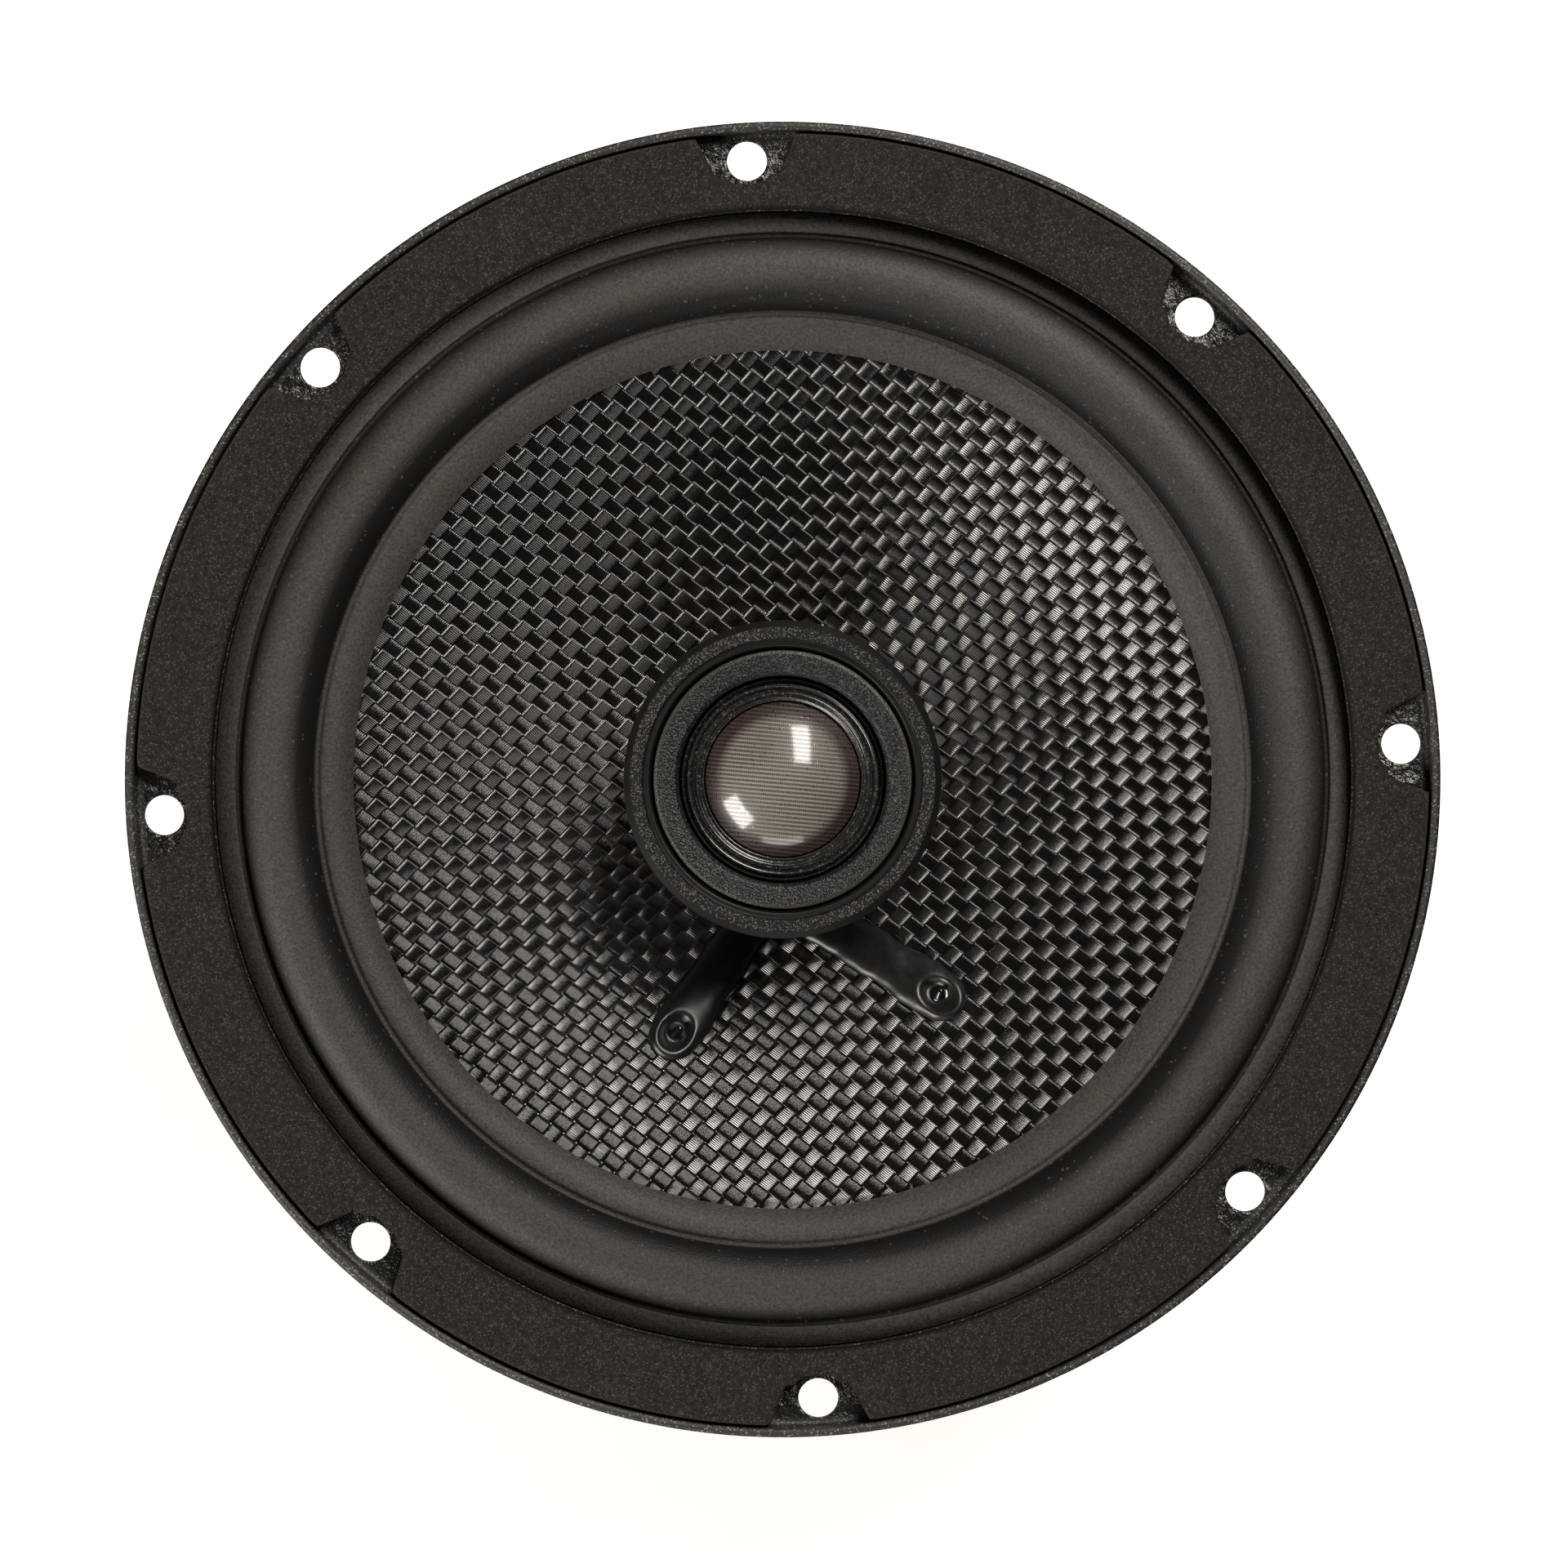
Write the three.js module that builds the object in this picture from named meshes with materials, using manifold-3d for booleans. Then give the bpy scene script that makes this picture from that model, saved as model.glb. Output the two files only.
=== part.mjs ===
// A 165 mm coaxial car loudspeaker: a woven cone driven from a ferrite motor, with a dome tweeter
// carried on a post through the middle of the cone.
// Millimetres, +Z towards the listener, z = 0 on the rear face of the rubber magnet boot, and the
// speaker's axis on the Z axis. The wiring and the terminals are on the -Y side.

import * as THREE from "three";
import { mergeVertices } from "three/addons/utils/BufferGeometryUtils.js";
import Module from "manifold-3d";

const wasm = await Module();
wasm.setup();

// ---- Driving dimensions ----

const GLUE = 0.05; // the gap that a glue line leaves between two glued faces
const LARGE = 48; // segments round the flange, gasket, surround and cone
const MEDIUM = 32; // segments round the motor and the tweeter
const SMALL = 24; // segments round inner rings
const TINY = 10; // segments round rivets and eyelets

const OUTER_R = 82.5; // the flange's lip
const SHEET = 1.0; // pressed steel of the basket
const SEAT_Z = 60.2; // rear face of the flange, which rests on the car's panel
const TRAY_Z = SEAT_Z + SHEET; // floor that the front gasket is glued to
const LIP_Z = TRAY_Z + 3.2;
const CUTOUT_R = 72.8; // outside of the wall that drops through the panel's cut-out
const LEDGE_Z = 59.6; // top of the ledge that carries the surround
const SCREW_COUNT = 8;
const SCREW_CIRCLE_R = 78.15;
const SCREW_HOLE_R = 2.52;

const WINDOW = { count: 4, inner: 48.5, outer: 64.3, halfAngle: (31 * Math.PI) / 180 };
const SHELF_Z = 35.4; // where the spider is glued
const FLOOR_Z = 30.2; // top of the basket's floor

const GASKET = { inner: 71.9, outer: 81.2, top: TRAY_Z + 3.0 };
const NOTCH = { mouthHalf: 6.2, noseR: 3.6, noseAt: 78.6 };

const CONE = { neckR: 13.35, neckZ: 38.6, rimR: 54.2, rimZ: 58.6, bow: 0.85, thick: 0.6 };
const ROLL = { inner: 59.3, outer: 68.4, innerZ: 59.83, outerZ: 60.4, height: 3.8, thick: 0.7 };

const COIL = { inner: 12.75, formerR: 13.1, windingR: 13.9, top: 39.4, bottom: 21.5 };
const WINDING = { bottom: 22, top: 31 };
const GAP = { plateHoleR: 14.4, poleR: 12.3 };
const MOTOR = { backZ: 4, magnetZ: 9, plateZ: 24, floorZ: 29 }; // lower faces, rear to front
const MAGNET_R = 40;
const PLATE_R = 38;
const BOOT = { outer: 43, inner: 40.3, holeR: 8, rear: 3.95, top: 24 };

const POST = { boreR: 2.2, tailR: 3.7, shaftR: 4.6, top: 51.45 };
const TWEETER = { outer: 19.95, bottom: 51.5, rim: 65.8, wellR: 16.6, ledgeZ: 61 };
const DOME = { r: 9.75, base: 61.9, height: 3.9, thick: 0.3 };

const BOARD = { y: -48.6, thick: 1.5, halfWidth: 16, bottom: 33, top: 45 };
const TERMINAL_X = 10.5;
const TERMINAL_Z = 40; // height of the rivets through the terminals

// Ends of the glued lead dressings on the cone, from under the tweeter out to the eyelet.
const DRESSINGS = {
  left: { start: [-3.87, -16.36], eyelet: [-15.6, -31.63] },
  right: { start: [2.15, -17.24], eyelet: [18.4, -28.76] },
};
const DRESSING_WIDTH = 5.6;
const DRESSING_HEIGHT = 1.5;

// ---- Finishes ----

const finish = (color, roughness, metalness = 0) =>
  new THREE.MeshStandardMaterial({ color, roughness, metalness });

const FINISHES = {
  powderCoat: finish(0x1b1a19, 0.5),
  gasketFoam: finish(0x37332e, 0.95),
  surroundRubber: finish(0x2b2927, 0.6),
  wovenFibre: finish(0x3a3734, 0.3),
  kapton: finish(0x7a4a1e, 0.35),
  copper: finish(0xb5652e, 0.35, 1),
  spiderCloth: finish(0xb08a3c, 0.9),
  zincSteel: finish(0x9a9a98, 0.35, 1),
  ferrite: finish(0x2a2a2c, 0.7),
  bootRubber: finish(0x171717, 0.7),
  blackPlastic: finish(0x1d1d1e, 0.45),
  rollFilm: finish(0x14161b, 0.15),
  domeCloth: finish(0x6b625a, 0.3),
  nickel: finish(0xb9b7b0, 0.25, 1),
  dressing: finish(0x121110, 0.35),
  brass: finish(0xb8923f, 0.3, 1),
  tinned: finish(0xb0aca2, 0.35, 1),
  phenolic: finish(0x4a2c16, 0.55),
  redSleeve: finish(0x8c1512, 0.5),
  blackSleeve: finish(0x151515, 0.5),
  capacitorSleeve: finish(0x1c2f4a, 0.4),
};

// ---- Shape tools ----

// A radial outline of a sheet whose upper face follows the line [r, z], thickened on its lower side.
function sheet(line, thickness) {
  const sides = line.slice(1).map(([r, z], i) => {
    const length = Math.hypot(r - line[i][0], z - line[i][1]);
    return [(z - line[i][1]) / length, (line[i][0] - r) / length];
  });
  const lower = line.map(([r, z], i) => {
    const before = sides[Math.max(i - 1, 0)];
    const after = sides[Math.min(i, sides.length - 1)];
    const square = 1 + before[0] * after[0] + before[1] * after[1];
    const reach = thickness / square;
    return [Math.max(r + (before[0] + after[0]) * reach, 0), z + (before[1] + after[1]) * reach];
  });
  return [...line, ...lower.reverse()];
}

// A closed outline [r, z] turned round the Z axis. An outline that starts and ends on the axis
// stays open there.
function turned(outline, segments) {
  const area = outline.reduce((sum, [r, z], i) => {
    const [nextR, nextZ] = outline[(i + 1) % outline.length];
    return sum + r * nextZ - nextR * z;
  }, 0);
  const points = (area > 0 ? outline : [...outline].reverse()).map(([r, z]) => new THREE.Vector2(r, z));
  const onAxis = points[0].x === 0 && points[points.length - 1].x === 0;
  if (!onAxis) points.push(points[0].clone());
  return new THREE.LatheGeometry(points, segments).rotateX(Math.PI / 2);
}

// A plain disc or ring between two heights.
const ring = (inner, outer, bottom, top, segments) =>
  turned([[inner, bottom], [outer, bottom], [outer, top], [inner, top]], segments);

const rod = (radius, bottom, top, segments) =>
  new THREE.CylinderGeometry(radius, radius, top - bottom, segments)
    .rotateX(Math.PI / 2)
    .translate(0, 0, (top + bottom) / 2);

const block = (xLow, xHigh, yLow, yHigh, zLow, zHigh) =>
  new THREE.BoxGeometry(xHigh - xLow, yHigh - yLow, zHigh - zLow).translate(
    (xLow + xHigh) / 2,
    (yLow + yHigh) / 2,
    (zLow + zHigh) / 2,
  );

// Turns a piece made round Z so that its top points along -Y.
const alongY = (geometry) => geometry.rotateX(Math.PI / 2);

const upright = (shape, bottom, top, curveSegments = 6) =>
  new THREE.ExtrudeGeometry(shape, {
    depth: top - bottom,
    bevelEnabled: false,
    curveSegments,
  }).translate(0, 0, bottom);

// A round wire or lead carried along a smooth curve through the points.
function wire(points, radius, steps, sides = 8) {
  const section = new THREE.Shape(
    Array.from({ length: sides }, (_, i) => {
      const angle = (i * 2 * Math.PI) / sides;
      return new THREE.Vector2(radius * Math.cos(angle), radius * Math.sin(angle));
    }),
  );
  const path = new THREE.CatmullRomCurve3(points.map((p) => new THREE.Vector3(...p)), false, "centripetal");
  return new THREE.ExtrudeGeometry(section, { steps, extrudePath: path, bevelEnabled: false });
}

function solidOf(geometry) {
  const bare = geometry.clone().deleteAttribute("normal").deleteAttribute("uv");
  const merged = mergeVertices(bare, 1e-4);
  return new wasm.Manifold(
    new wasm.Mesh({
      numProp: 3,
      vertProperties: merged.attributes.position.array,
      triVerts: new Uint32Array(merged.index.array),
    }),
  );
}

function geometryOf(solid) {
  const mesh = solid.getMesh();
  const geometry = new THREE.BufferGeometry();
  geometry.setAttribute("position", new THREE.BufferAttribute(mesh.vertProperties, 3));
  geometry.setIndex(new THREE.BufferAttribute(mesh.triVerts, 1));
  geometry.computeVertexNormals();
  return geometry;
}

const cut = (geometry, tools) =>
  geometryOf(tools.reduce((solid, tool) => solid.subtract(solidOf(tool)), solidOf(geometry)));

const join = (geometry, other) => geometryOf(solidOf(geometry).add(solidOf(other)));

// The angles of a number of like features spaced evenly round the axis.
const around = (count, first = 0) =>
  Array.from({ length: count }, (_, i) => first + (i * 2 * Math.PI) / count);

// ---- The assembly ----

const speaker = new THREE.Group();

function add(name, geometry, material, parent = speaker) {
  const mesh = new THREE.Mesh(geometry, material);
  mesh.name = name;
  parent.add(mesh);
  return mesh;
}

// ---- Basket and front gasket ----

// The four rivets that hold the basket to the top plate, and the holes that they stand in.
const RIVET = { circleR: 28.5, holeR: 2.2, shankR: 1.85, headR: 3.2, tip: 25.6 };
const rivetPlaces = around(4, Math.PI / 4).map((angle) => [
  RIVET.circleR * Math.cos(angle),
  RIVET.circleR * Math.sin(angle),
]);
const rivetHoles = (bottom, top) =>
  rivetPlaces.map(([x, y]) => rod(RIVET.holeR, bottom, top, 12).translate(x, y, 0));

// The legs' windows, drawn from above as sectors of a ring.
function windowCutter(angle) {
  const { inner, outer, halfAngle } = WINDOW;
  const shape = new THREE.Shape();
  shape.absarc(0, 0, outer, angle - halfAngle, angle + halfAngle, false);
  shape.absarc(0, 0, inner, angle + halfAngle, angle - halfAngle, true);
  return upright(shape, 25, LEDGE_Z - SHEET - 0.2, 8);
}

// One steel pressing: floor, spider shelf, four legs, surround ledge, cut-out wall, tray and lip,
// with a tab at -Y that the terminal board is riveted to.
function basket() {
  const innerFace = [
    [20, FLOOR_Z],
    [36.5, FLOOR_Z],
    [40.3, SHELF_Z],
    [46.5, SHELF_Z],
    [66, 57.2],
    [66, LEDGE_Z],
    [CUTOUT_R - SHEET, LEDGE_Z],
    [CUTOUT_R - SHEET, TRAY_Z],
    [OUTER_R - SHEET, TRAY_Z],
    [OUTER_R - SHEET, LIP_Z],
  ];
  const pressing = turned(sheet(innerFace, SHEET), LARGE);
  const screwHoles = around(SCREW_COUNT).map((angle) =>
    rod(SCREW_HOLE_R, SEAT_Z - 1, TRAY_Z + 1, 12).translate(
      SCREW_CIRCLE_R * Math.cos(angle),
      SCREW_CIRCLE_R * Math.sin(angle),
      0,
    ),
  );
  const windows = around(WINDOW.count).map(windowCutter);
  const tab = block(-5, 5, -48.4, -47.4, SHELF_Z - 0.5, BOARD.top);
  const boardRivetHole = alongY(rod(1.6, -60, 60, TINY)).translate(0, 0, TERMINAL_Z);
  const body = cut(pressing, [...screwHoles, ...windows, ...rivetHoles(FLOOR_Z - 2, FLOOR_Z + 2)]);
  return join(body, cut(tab, [boardRivetHole]));
}

// A foam ring with a notch at each screw: straight sides that narrow to a round nose.
function frontGasket() {
  const shape = new THREE.Shape();
  const { mouthHalf, noseR, noseAt } = NOTCH;
  const mouth = Math.asin(mouthHalf / GASKET.outer);
  const mouthX = GASKET.outer * Math.cos(mouth) - noseAt;
  const reach = Math.hypot(mouthX, mouthHalf);
  const tangent = Math.atan2(mouthHalf, mouthX) + Math.acos(noseR / reach);
  const pitch = (2 * Math.PI) / SCREW_COUNT;
  around(SCREW_COUNT).forEach((angle) => {
    shape.absarc(
      noseAt * Math.cos(angle),
      noseAt * Math.sin(angle),
      noseR,
      angle - tangent,
      angle - 2 * Math.PI + tangent,
      true,
    );
    shape.absarc(0, 0, GASKET.outer, angle + mouth, angle + pitch - mouth, false);
  });
  shape.holes.push(new THREE.Path().absarc(0, 0, GASKET.inner, 0, 2 * Math.PI, true));
  const { shape: outer, holes } = shape.extractPoints(3);
  const flat = new THREE.Shape(outer);
  flat.holes = holes.map(() => new THREE.Path(circlePoints(GASKET.inner, LARGE)));
  return upright(flat, TRAY_Z + GLUE, GASKET.top);
}

const circlePoints = (radius, count) =>
  around(count).map((angle) => new THREE.Vector2(radius * Math.cos(angle), radius * Math.sin(angle)));

add("basket", basket(), FINISHES.powderCoat);
add("front_gasket", frontGasket(), FINISHES.gasketFoam);

// ---- Cone, surround and spider ----

// Height of the cone's front face at a radius.
const coneTop = (r) =>
  CONE.neckZ +
  (CONE.rimZ - CONE.neckZ) * (Math.max(r - CONE.neckR, 0) / (CONE.rimR - CONE.neckR)) ** CONE.bow;

// The cone's outward normal on its front face at x, y.
function coneNormal(x, y) {
  const r = Math.hypot(x, y);
  const slope = coneTop(r + 0.5) - coneTop(r - 0.5);
  return new THREE.Vector3((-slope * x) / r, (-slope * y) / r, 1).normalize();
}

const EYELET = { holeR: 1.0, shankR: 0.65, footR: 1.3, headR: 1.25 };

// A turned piece with its axis on the cone's normal at x, y and its own z = 0 on the cone's face.
function onCone(geometry, [x, y]) {
  const turn = new THREE.Quaternion().setFromUnitVectors(new THREE.Vector3(0, 0, 1), coneNormal(x, y));
  return geometry.applyQuaternion(turn).translate(x, y, coneTop(Math.hypot(x, y)));
}

// A woven fibre shell with a short neck collar, and a flat rim that the surround is glued on.
function cone() {
  const steps = 4;
  const flare = Array.from({ length: steps + 1 }, (_, i) => {
    const r = CONE.neckR + ((CONE.rimR - CONE.neckR) * i) / steps;
    return [r, coneTop(r)];
  });
  const face = [[CONE.neckR, CONE.neckZ - 1.2], ...flare, [58.4, CONE.rimZ + 0.4]];
  const holes = Object.values(DRESSINGS).map(({ eyelet }) =>
    onCone(rod(EYELET.holeR, -3, 3, TINY), eyelet),
  );
  return cut(turned(sheet(face, CONE.thick), LARGE), holes);
}

// A rubber half roll between a lip glued on the cone and a flange glued on the basket's ledge.
function surround() {
  const steps = 5;
  const arch = Array.from({ length: steps + 1 }, (_, i) => {
    const part = i / steps;
    const middle = (ROLL.inner + ROLL.outer) / 2;
    const half = (ROLL.outer - ROLL.inner) / 2;
    const base = ROLL.innerZ + (ROLL.outerZ - ROLL.innerZ) * part;
    return [middle - half * Math.cos(Math.PI * part), base + ROLL.height * Math.sin(Math.PI * part)];
  });
  return turned(sheet([[54.3, 59.35], ...arch, [71.6, ROLL.outerZ]], ROLL.thick), LARGE);
}

// A corrugated cloth disc, glued to the former at its neck and to the basket's shelf outside.
function spider() {
  const waves = 3;
  const inner = 17;
  const outer = 39.5;
  const folds = Array.from({ length: 2 * waves }, (_, i) => [
    inner + ((outer - inner) * (i + 0.5)) / (2 * waves),
    SHELF_Z + 0.6 + (i % 2 ? -1.1 : 1.1),
  ]);
  const flange = SHELF_Z + GLUE + 0.4;
  return turned(sheet([[13.6, 35.9], ...folds, [40, flange], [46, flange]], 0.4), SMALL);
}

add("cone", cone(), FINISHES.wovenFibre);
add("surround", surround(), FINISHES.surroundRubber);
add("spider", spider(), FINISHES.spiderCloth);

// ---- Voice coil ----

add("voice_coil_former", ring(COIL.inner, COIL.formerR, COIL.bottom, COIL.top, SMALL), FINISHES.kapton);
add(
  "voice_coil_winding",
  ring(COIL.formerR + GLUE, COIL.windingR, WINDING.bottom, WINDING.top, SMALL),
  FINISHES.copper,
);

// ---- Motor ----

// The front pole plate, with blind holes for the basket's rivets.
function topPlate() {
  const plate = ring(GAP.plateHoleR, PLATE_R, MOTOR.plateZ, MOTOR.floorZ, MEDIUM);
  return cut(plate, rivetHoles(RIVET.tip - 0.4, MOTOR.floorZ + 1));
}

// The back plate and pole in one piece, bored for the tweeter's post and counterbored for its nut.
function tYoke() {
  const outline = [
    [7, MOTOR.backZ],
    [36, MOTOR.backZ],
    [37, MOTOR.backZ + 1],
    [37, MOTOR.magnetZ],
    [GAP.poleR, MOTOR.magnetZ],
    [GAP.poleR, MOTOR.floorZ - 0.6],
    [GAP.poleR - 0.6, MOTOR.floorZ],
    [4, MOTOR.floorZ],
    [4, MOTOR.backZ + 3.2],
    [7, MOTOR.backZ + 3.2],
  ];
  return turned(outline, SMALL);
}

// A rubber cup over the magnet, with a groove that leads the tweeter's wires out and up its side.
function magnetBoot() {
  const cup = [
    [BOOT.holeR, 0],
    [BOOT.outer - 1.5, 0],
    [BOOT.outer, 1.5],
    [BOOT.outer, BOOT.top - 1.2],
    [BOOT.outer - 1.2, BOOT.top],
    [BOOT.inner, BOOT.top],
    [BOOT.inner, BOOT.rear],
    [BOOT.holeR, BOOT.rear],
  ];
  const half = 1.7;
  const groove = block(-half, half, -45, -5, -1, 2.2);
  const corner = block(-half, half, -45, -38, -1, BOOT.rear + 1);
  const rise = block(-half, half, -45, -40.9, -1, BOOT.top + 1);
  return cut(turned(cup, MEDIUM), [groove, corner, rise]);
}

add("top_plate", topPlate(), FINISHES.zincSteel);
const magnetFoot = MOTOR.magnetZ + GLUE;
add("magnet", ring(16, MAGNET_R, magnetFoot, MOTOR.plateZ - GLUE, SMALL), FINISHES.ferrite);
add("t_yoke", tYoke(), FINISHES.zincSteel);
add("magnet_boot", magnetBoot(), FINISHES.bootRubber);

// A rivet round Z: its head's underside is at z = 0 and its shank goes down by its grip to a
// second, flattened head where one is asked for.
function rivet({ headR, shankR, headHeight, grip, tailR }) {
  const head = [
    [0, headHeight],
    [headR * 0.75, headHeight * 0.8],
    [headR, 0],
    [shankR, 0],
    [shankR, -grip],
  ];
  const tail = tailR ? [[tailR, -grip], [tailR, -grip - 0.6], [0, -grip - 0.6]] : [[0, -grip]];
  return turned([...head, ...tail], TINY);
}

rivetPlaces.forEach(([x, y], i) => {
  const { headR, shankR, tip } = RIVET;
  const shape = rivet({ headR, shankR, headHeight: 1.2, grip: FLOOR_Z + GLUE - tip });
  add("basket_rivet_" + (i + 1), shape, FINISHES.zincSteel).position.set(x, y, FLOOR_Z + GLUE);
});

// ---- Tweeter ----

// The hollow post: a threaded tail down through the pole, a foot on the pole, and a head that
// the tweeter sits on.
function tweeterPost() {
  const foot = MOTOR.floorZ + GLUE;
  const outline = [
    [POST.boreR, MOTOR.backZ + 0.3],
    [POST.tailR, MOTOR.backZ + 0.3],
    [POST.tailR, foot],
    [7.5, foot],
    [7.5, foot + 1.6],
    [POST.shaftR, foot + 3],
    [POST.shaftR, POST.top - 3],
    [8.5, POST.top - 1.2],
    [8.5, POST.top],
    [POST.boreR, POST.top],
  ];
  return turned(outline, 16);
}

function postNut() {
  const hexagon = new THREE.Shape(circlePoints(6.3, 6));
  hexagon.holes.push(new THREE.Path(circlePoints(POST.tailR + 0.25, 16)));
  return upright(hexagon, MOTOR.backZ + 0.35, MOTOR.backZ + 3.0);
}

// The moulded cup, with the textured rim and the ledge that its bezel drops on.
function tweeterHousing() {
  const { outer, bottom, rim, wellR, ledgeZ } = TWEETER;
  const outline = [
    [2.5, bottom],
    [12, bottom],
    [17.2, bottom + 1.4],
    [outer, bottom + 5],
    [outer, rim - 0.9],
    [19, rim],
    [17.7, rim],
    [wellR + 0.3, rim - 0.6],
    [wellR, rim - 1.4],
    [wellR, ledgeZ],
    [15.2, ledgeZ],
    [13.3, bottom + 2.5],
    [2.5, bottom + 2.5],
  ];
  return turned(outline, MEDIUM);
}

function tweeterBezel() {
  const foot = TWEETER.ledgeZ + GLUE;
  const outline = [[13.05, foot], [16.2, foot], [16.2, 64.7], [15.8, 65.1], [13.5, 64.6], [13.05, 64.1]];
  return turned(outline, MEDIUM);
}

// The steel cup round the tweeter's magnet, whose rim carries the diaphragm.
function tweeterYoke() {
  const outline = [[0, 54.05], [12.3, 54.05], [12.75, 54.5], [12.75, 61.4], [10.1, 61.4], [10.1, 56], [0, 56]];
  return turned(outline, MEDIUM);
}

// The moulded roll between the dome's edge and the yoke's rim.
function tweeterRoll() {
  const line = [[9.98, 62.0], [10.4, 61.8], [10.86, 62.3], [11.35, 61.9], [11.9, 62.9], [12.35, 61.75], [12.7, 61.75]];
  return turned(sheet(line, 0.25), SMALL);
}

// A spherical cap of coated cloth.
function tweeterDome() {
  const { r, base, height, thick } = DOME;
  const sphere = (r * r + height * height) / (2 * height);
  const steps = 4;
  const line = Array.from({ length: steps + 1 }, (_, i) => {
    const angle = (Math.asin(r / sphere) * i) / steps;
    return [sphere * Math.sin(angle), base + height - sphere * (1 - Math.cos(angle))];
  });
  const outline = sheet(line, thick);
  outline[outline.length - 1][0] = 0;
  return turned(outline, MEDIUM);
}

add("tweeter_post", tweeterPost(), FINISHES.blackPlastic);
add("post_nut", postNut(), FINISHES.zincSteel);
add("tweeter_housing", tweeterHousing(), FINISHES.blackPlastic);
add("tweeter_bezel", tweeterBezel(), FINISHES.blackPlastic);
add("tweeter_yoke", tweeterYoke(), FINISHES.zincSteel);
add("tweeter_magnet", rod(8.6, 56 + GLUE, 59, SMALL), FINISHES.nickel);
add("tweeter_top_plate", rod(9.1, 59 + GLUE, 61, SMALL), FINISHES.zincSteel);
add("tweeter_coil", ring(9.42, 9.68, 59.2, 61.3, MEDIUM), FINISHES.copper);
add("tweeter_roll", tweeterRoll(), FINISHES.rollFilm);
add("tweeter_dome", tweeterDome(), FINISHES.domeCloth);

// ---- Lead dressings and eyelets on the cone ----

// A bead of black adhesive that lies on the cone over the coil's lead: a flattened capsule laid
// on the cone's face, with a well at its outer end round the eyelet.
function dressing({ start, eyelet }) {
  const length = Math.hypot(eyelet[0] - start[0], eyelet[1] - start[1]);
  const angle = Math.atan2(eyelet[1] - start[1], eyelet[0] - start[0]);
  const bead = new THREE.CapsuleGeometry(DRESSING_WIDTH / 2, length, 4, 10)
    .rotateZ(angle - Math.PI / 2)
    .translate((start[0] + eyelet[0]) / 2, (start[1] + eyelet[1]) / 2, 0);
  const places = bead.attributes.position;
  for (let i = 0; i < places.count; i++) {
    const r = Math.hypot(places.getX(i), places.getY(i));
    const up = (Math.max(places.getZ(i), 0) * DRESSING_HEIGHT) / (DRESSING_WIDTH / 2);
    places.setZ(i, coneTop(r) + 0.45 + up);
  }
  return cut(bead, [onCone(rod(EYELET.headR + 0.35, -4, 6, 12), eyelet)]);
}

// A brass eyelet through the cone, soldered over on the front.
function eyeletSolder({ eyelet }) {
  const outline = [
    [0, 1.5],
    [0.8, 1.2],
    [EYELET.headR, 0.3],
    [EYELET.shankR, 0.3],
    [EYELET.shankR, -1.0],
    [EYELET.footR, -1.0],
    [EYELET.footR, -1.5],
    [0, -1.5],
  ];
  return onCone(turned(outline, TINY), eyelet);
}

Object.entries(DRESSINGS).forEach(([side, ends]) => {
  add("lead_dressing_" + side, dressing(ends), FINISHES.dressing);
  add("lead_eyelet_" + side, eyeletSolder(ends), FINISHES.brass);
});

// ---- Terminal board ----

function terminalBoard() {
  const { y, thick, halfWidth, bottom, top } = BOARD;
  const plate = block(-halfWidth, halfWidth, y - thick, y, bottom, top);
  const holes = [-TERMINAL_X, 0, TERMINAL_X].map((x) =>
    alongY(rod(1.6, 30, 70, TINY)).translate(x, 0, TERMINAL_Z),
  );
  return cut(plate, holes);
}

const terminalY = BOARD.y - BOARD.thick - GLUE; // inner face of the terminals
const TERMINAL_THICK = 0.8;

// A push-on tab with a chamfered end and a locking hole, riveted to the board's outer face.
function terminal(width) {
  const half = width / 2;
  const shape = new THREE.Shape([
    new THREE.Vector2(-half, 44),
    new THREE.Vector2(-half, 22),
    new THREE.Vector2(-half + 1, 21),
    new THREE.Vector2(half - 1, 21),
    new THREE.Vector2(half, 22),
    new THREE.Vector2(half, 44),
  ]);
  const hole = (radius, z) =>
    new THREE.Path(circlePoints(radius, TINY).map((p) => p.add(new THREE.Vector2(0, z))));
  shape.holes.push(hole(1.6, TERMINAL_Z), hole(0.9, 24.5));
  return alongY(upright(shape, 0, TERMINAL_THICK)).translate(0, terminalY, 0);
}

const TERMINALS = [
  { name: "positive", x: TERMINAL_X, width: 6.3 },
  { name: "negative", x: -TERMINAL_X, width: 4.8 },
];

add("terminal_board", terminalBoard(), FINISHES.phenolic);
TERMINALS.forEach(({ name, x, width }) => {
  add("terminal_" + name, terminal(width), FINISHES.tinned).position.x = x;
  const grip = terminalY - TERMINAL_THICK - GLUE - BOARD.y - GLUE;
  const shape = rivet({ headR: 2.2, shankR: 1.3, headHeight: 0.8, grip: -grip, tailR: 2.1 });
  const place = [x, terminalY - TERMINAL_THICK - GLUE, TERMINAL_Z];
  add("terminal_rivet_" + name, alongY(shape), FINISHES.brass).position.set(...place);
});
const boardGrip = BOARD.thick + SHEET + 0.2 + 2 * GLUE;
const boardRivet = rivet({ headR: 2.4, shankR: 1.3, headHeight: 0.8, grip: boardGrip, tailR: 2.1 });
add("board_rivet", alongY(boardRivet), FINISHES.zincSteel).position.set(0, terminalY, TERMINAL_Z);

// ---- Wiring ----

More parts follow.
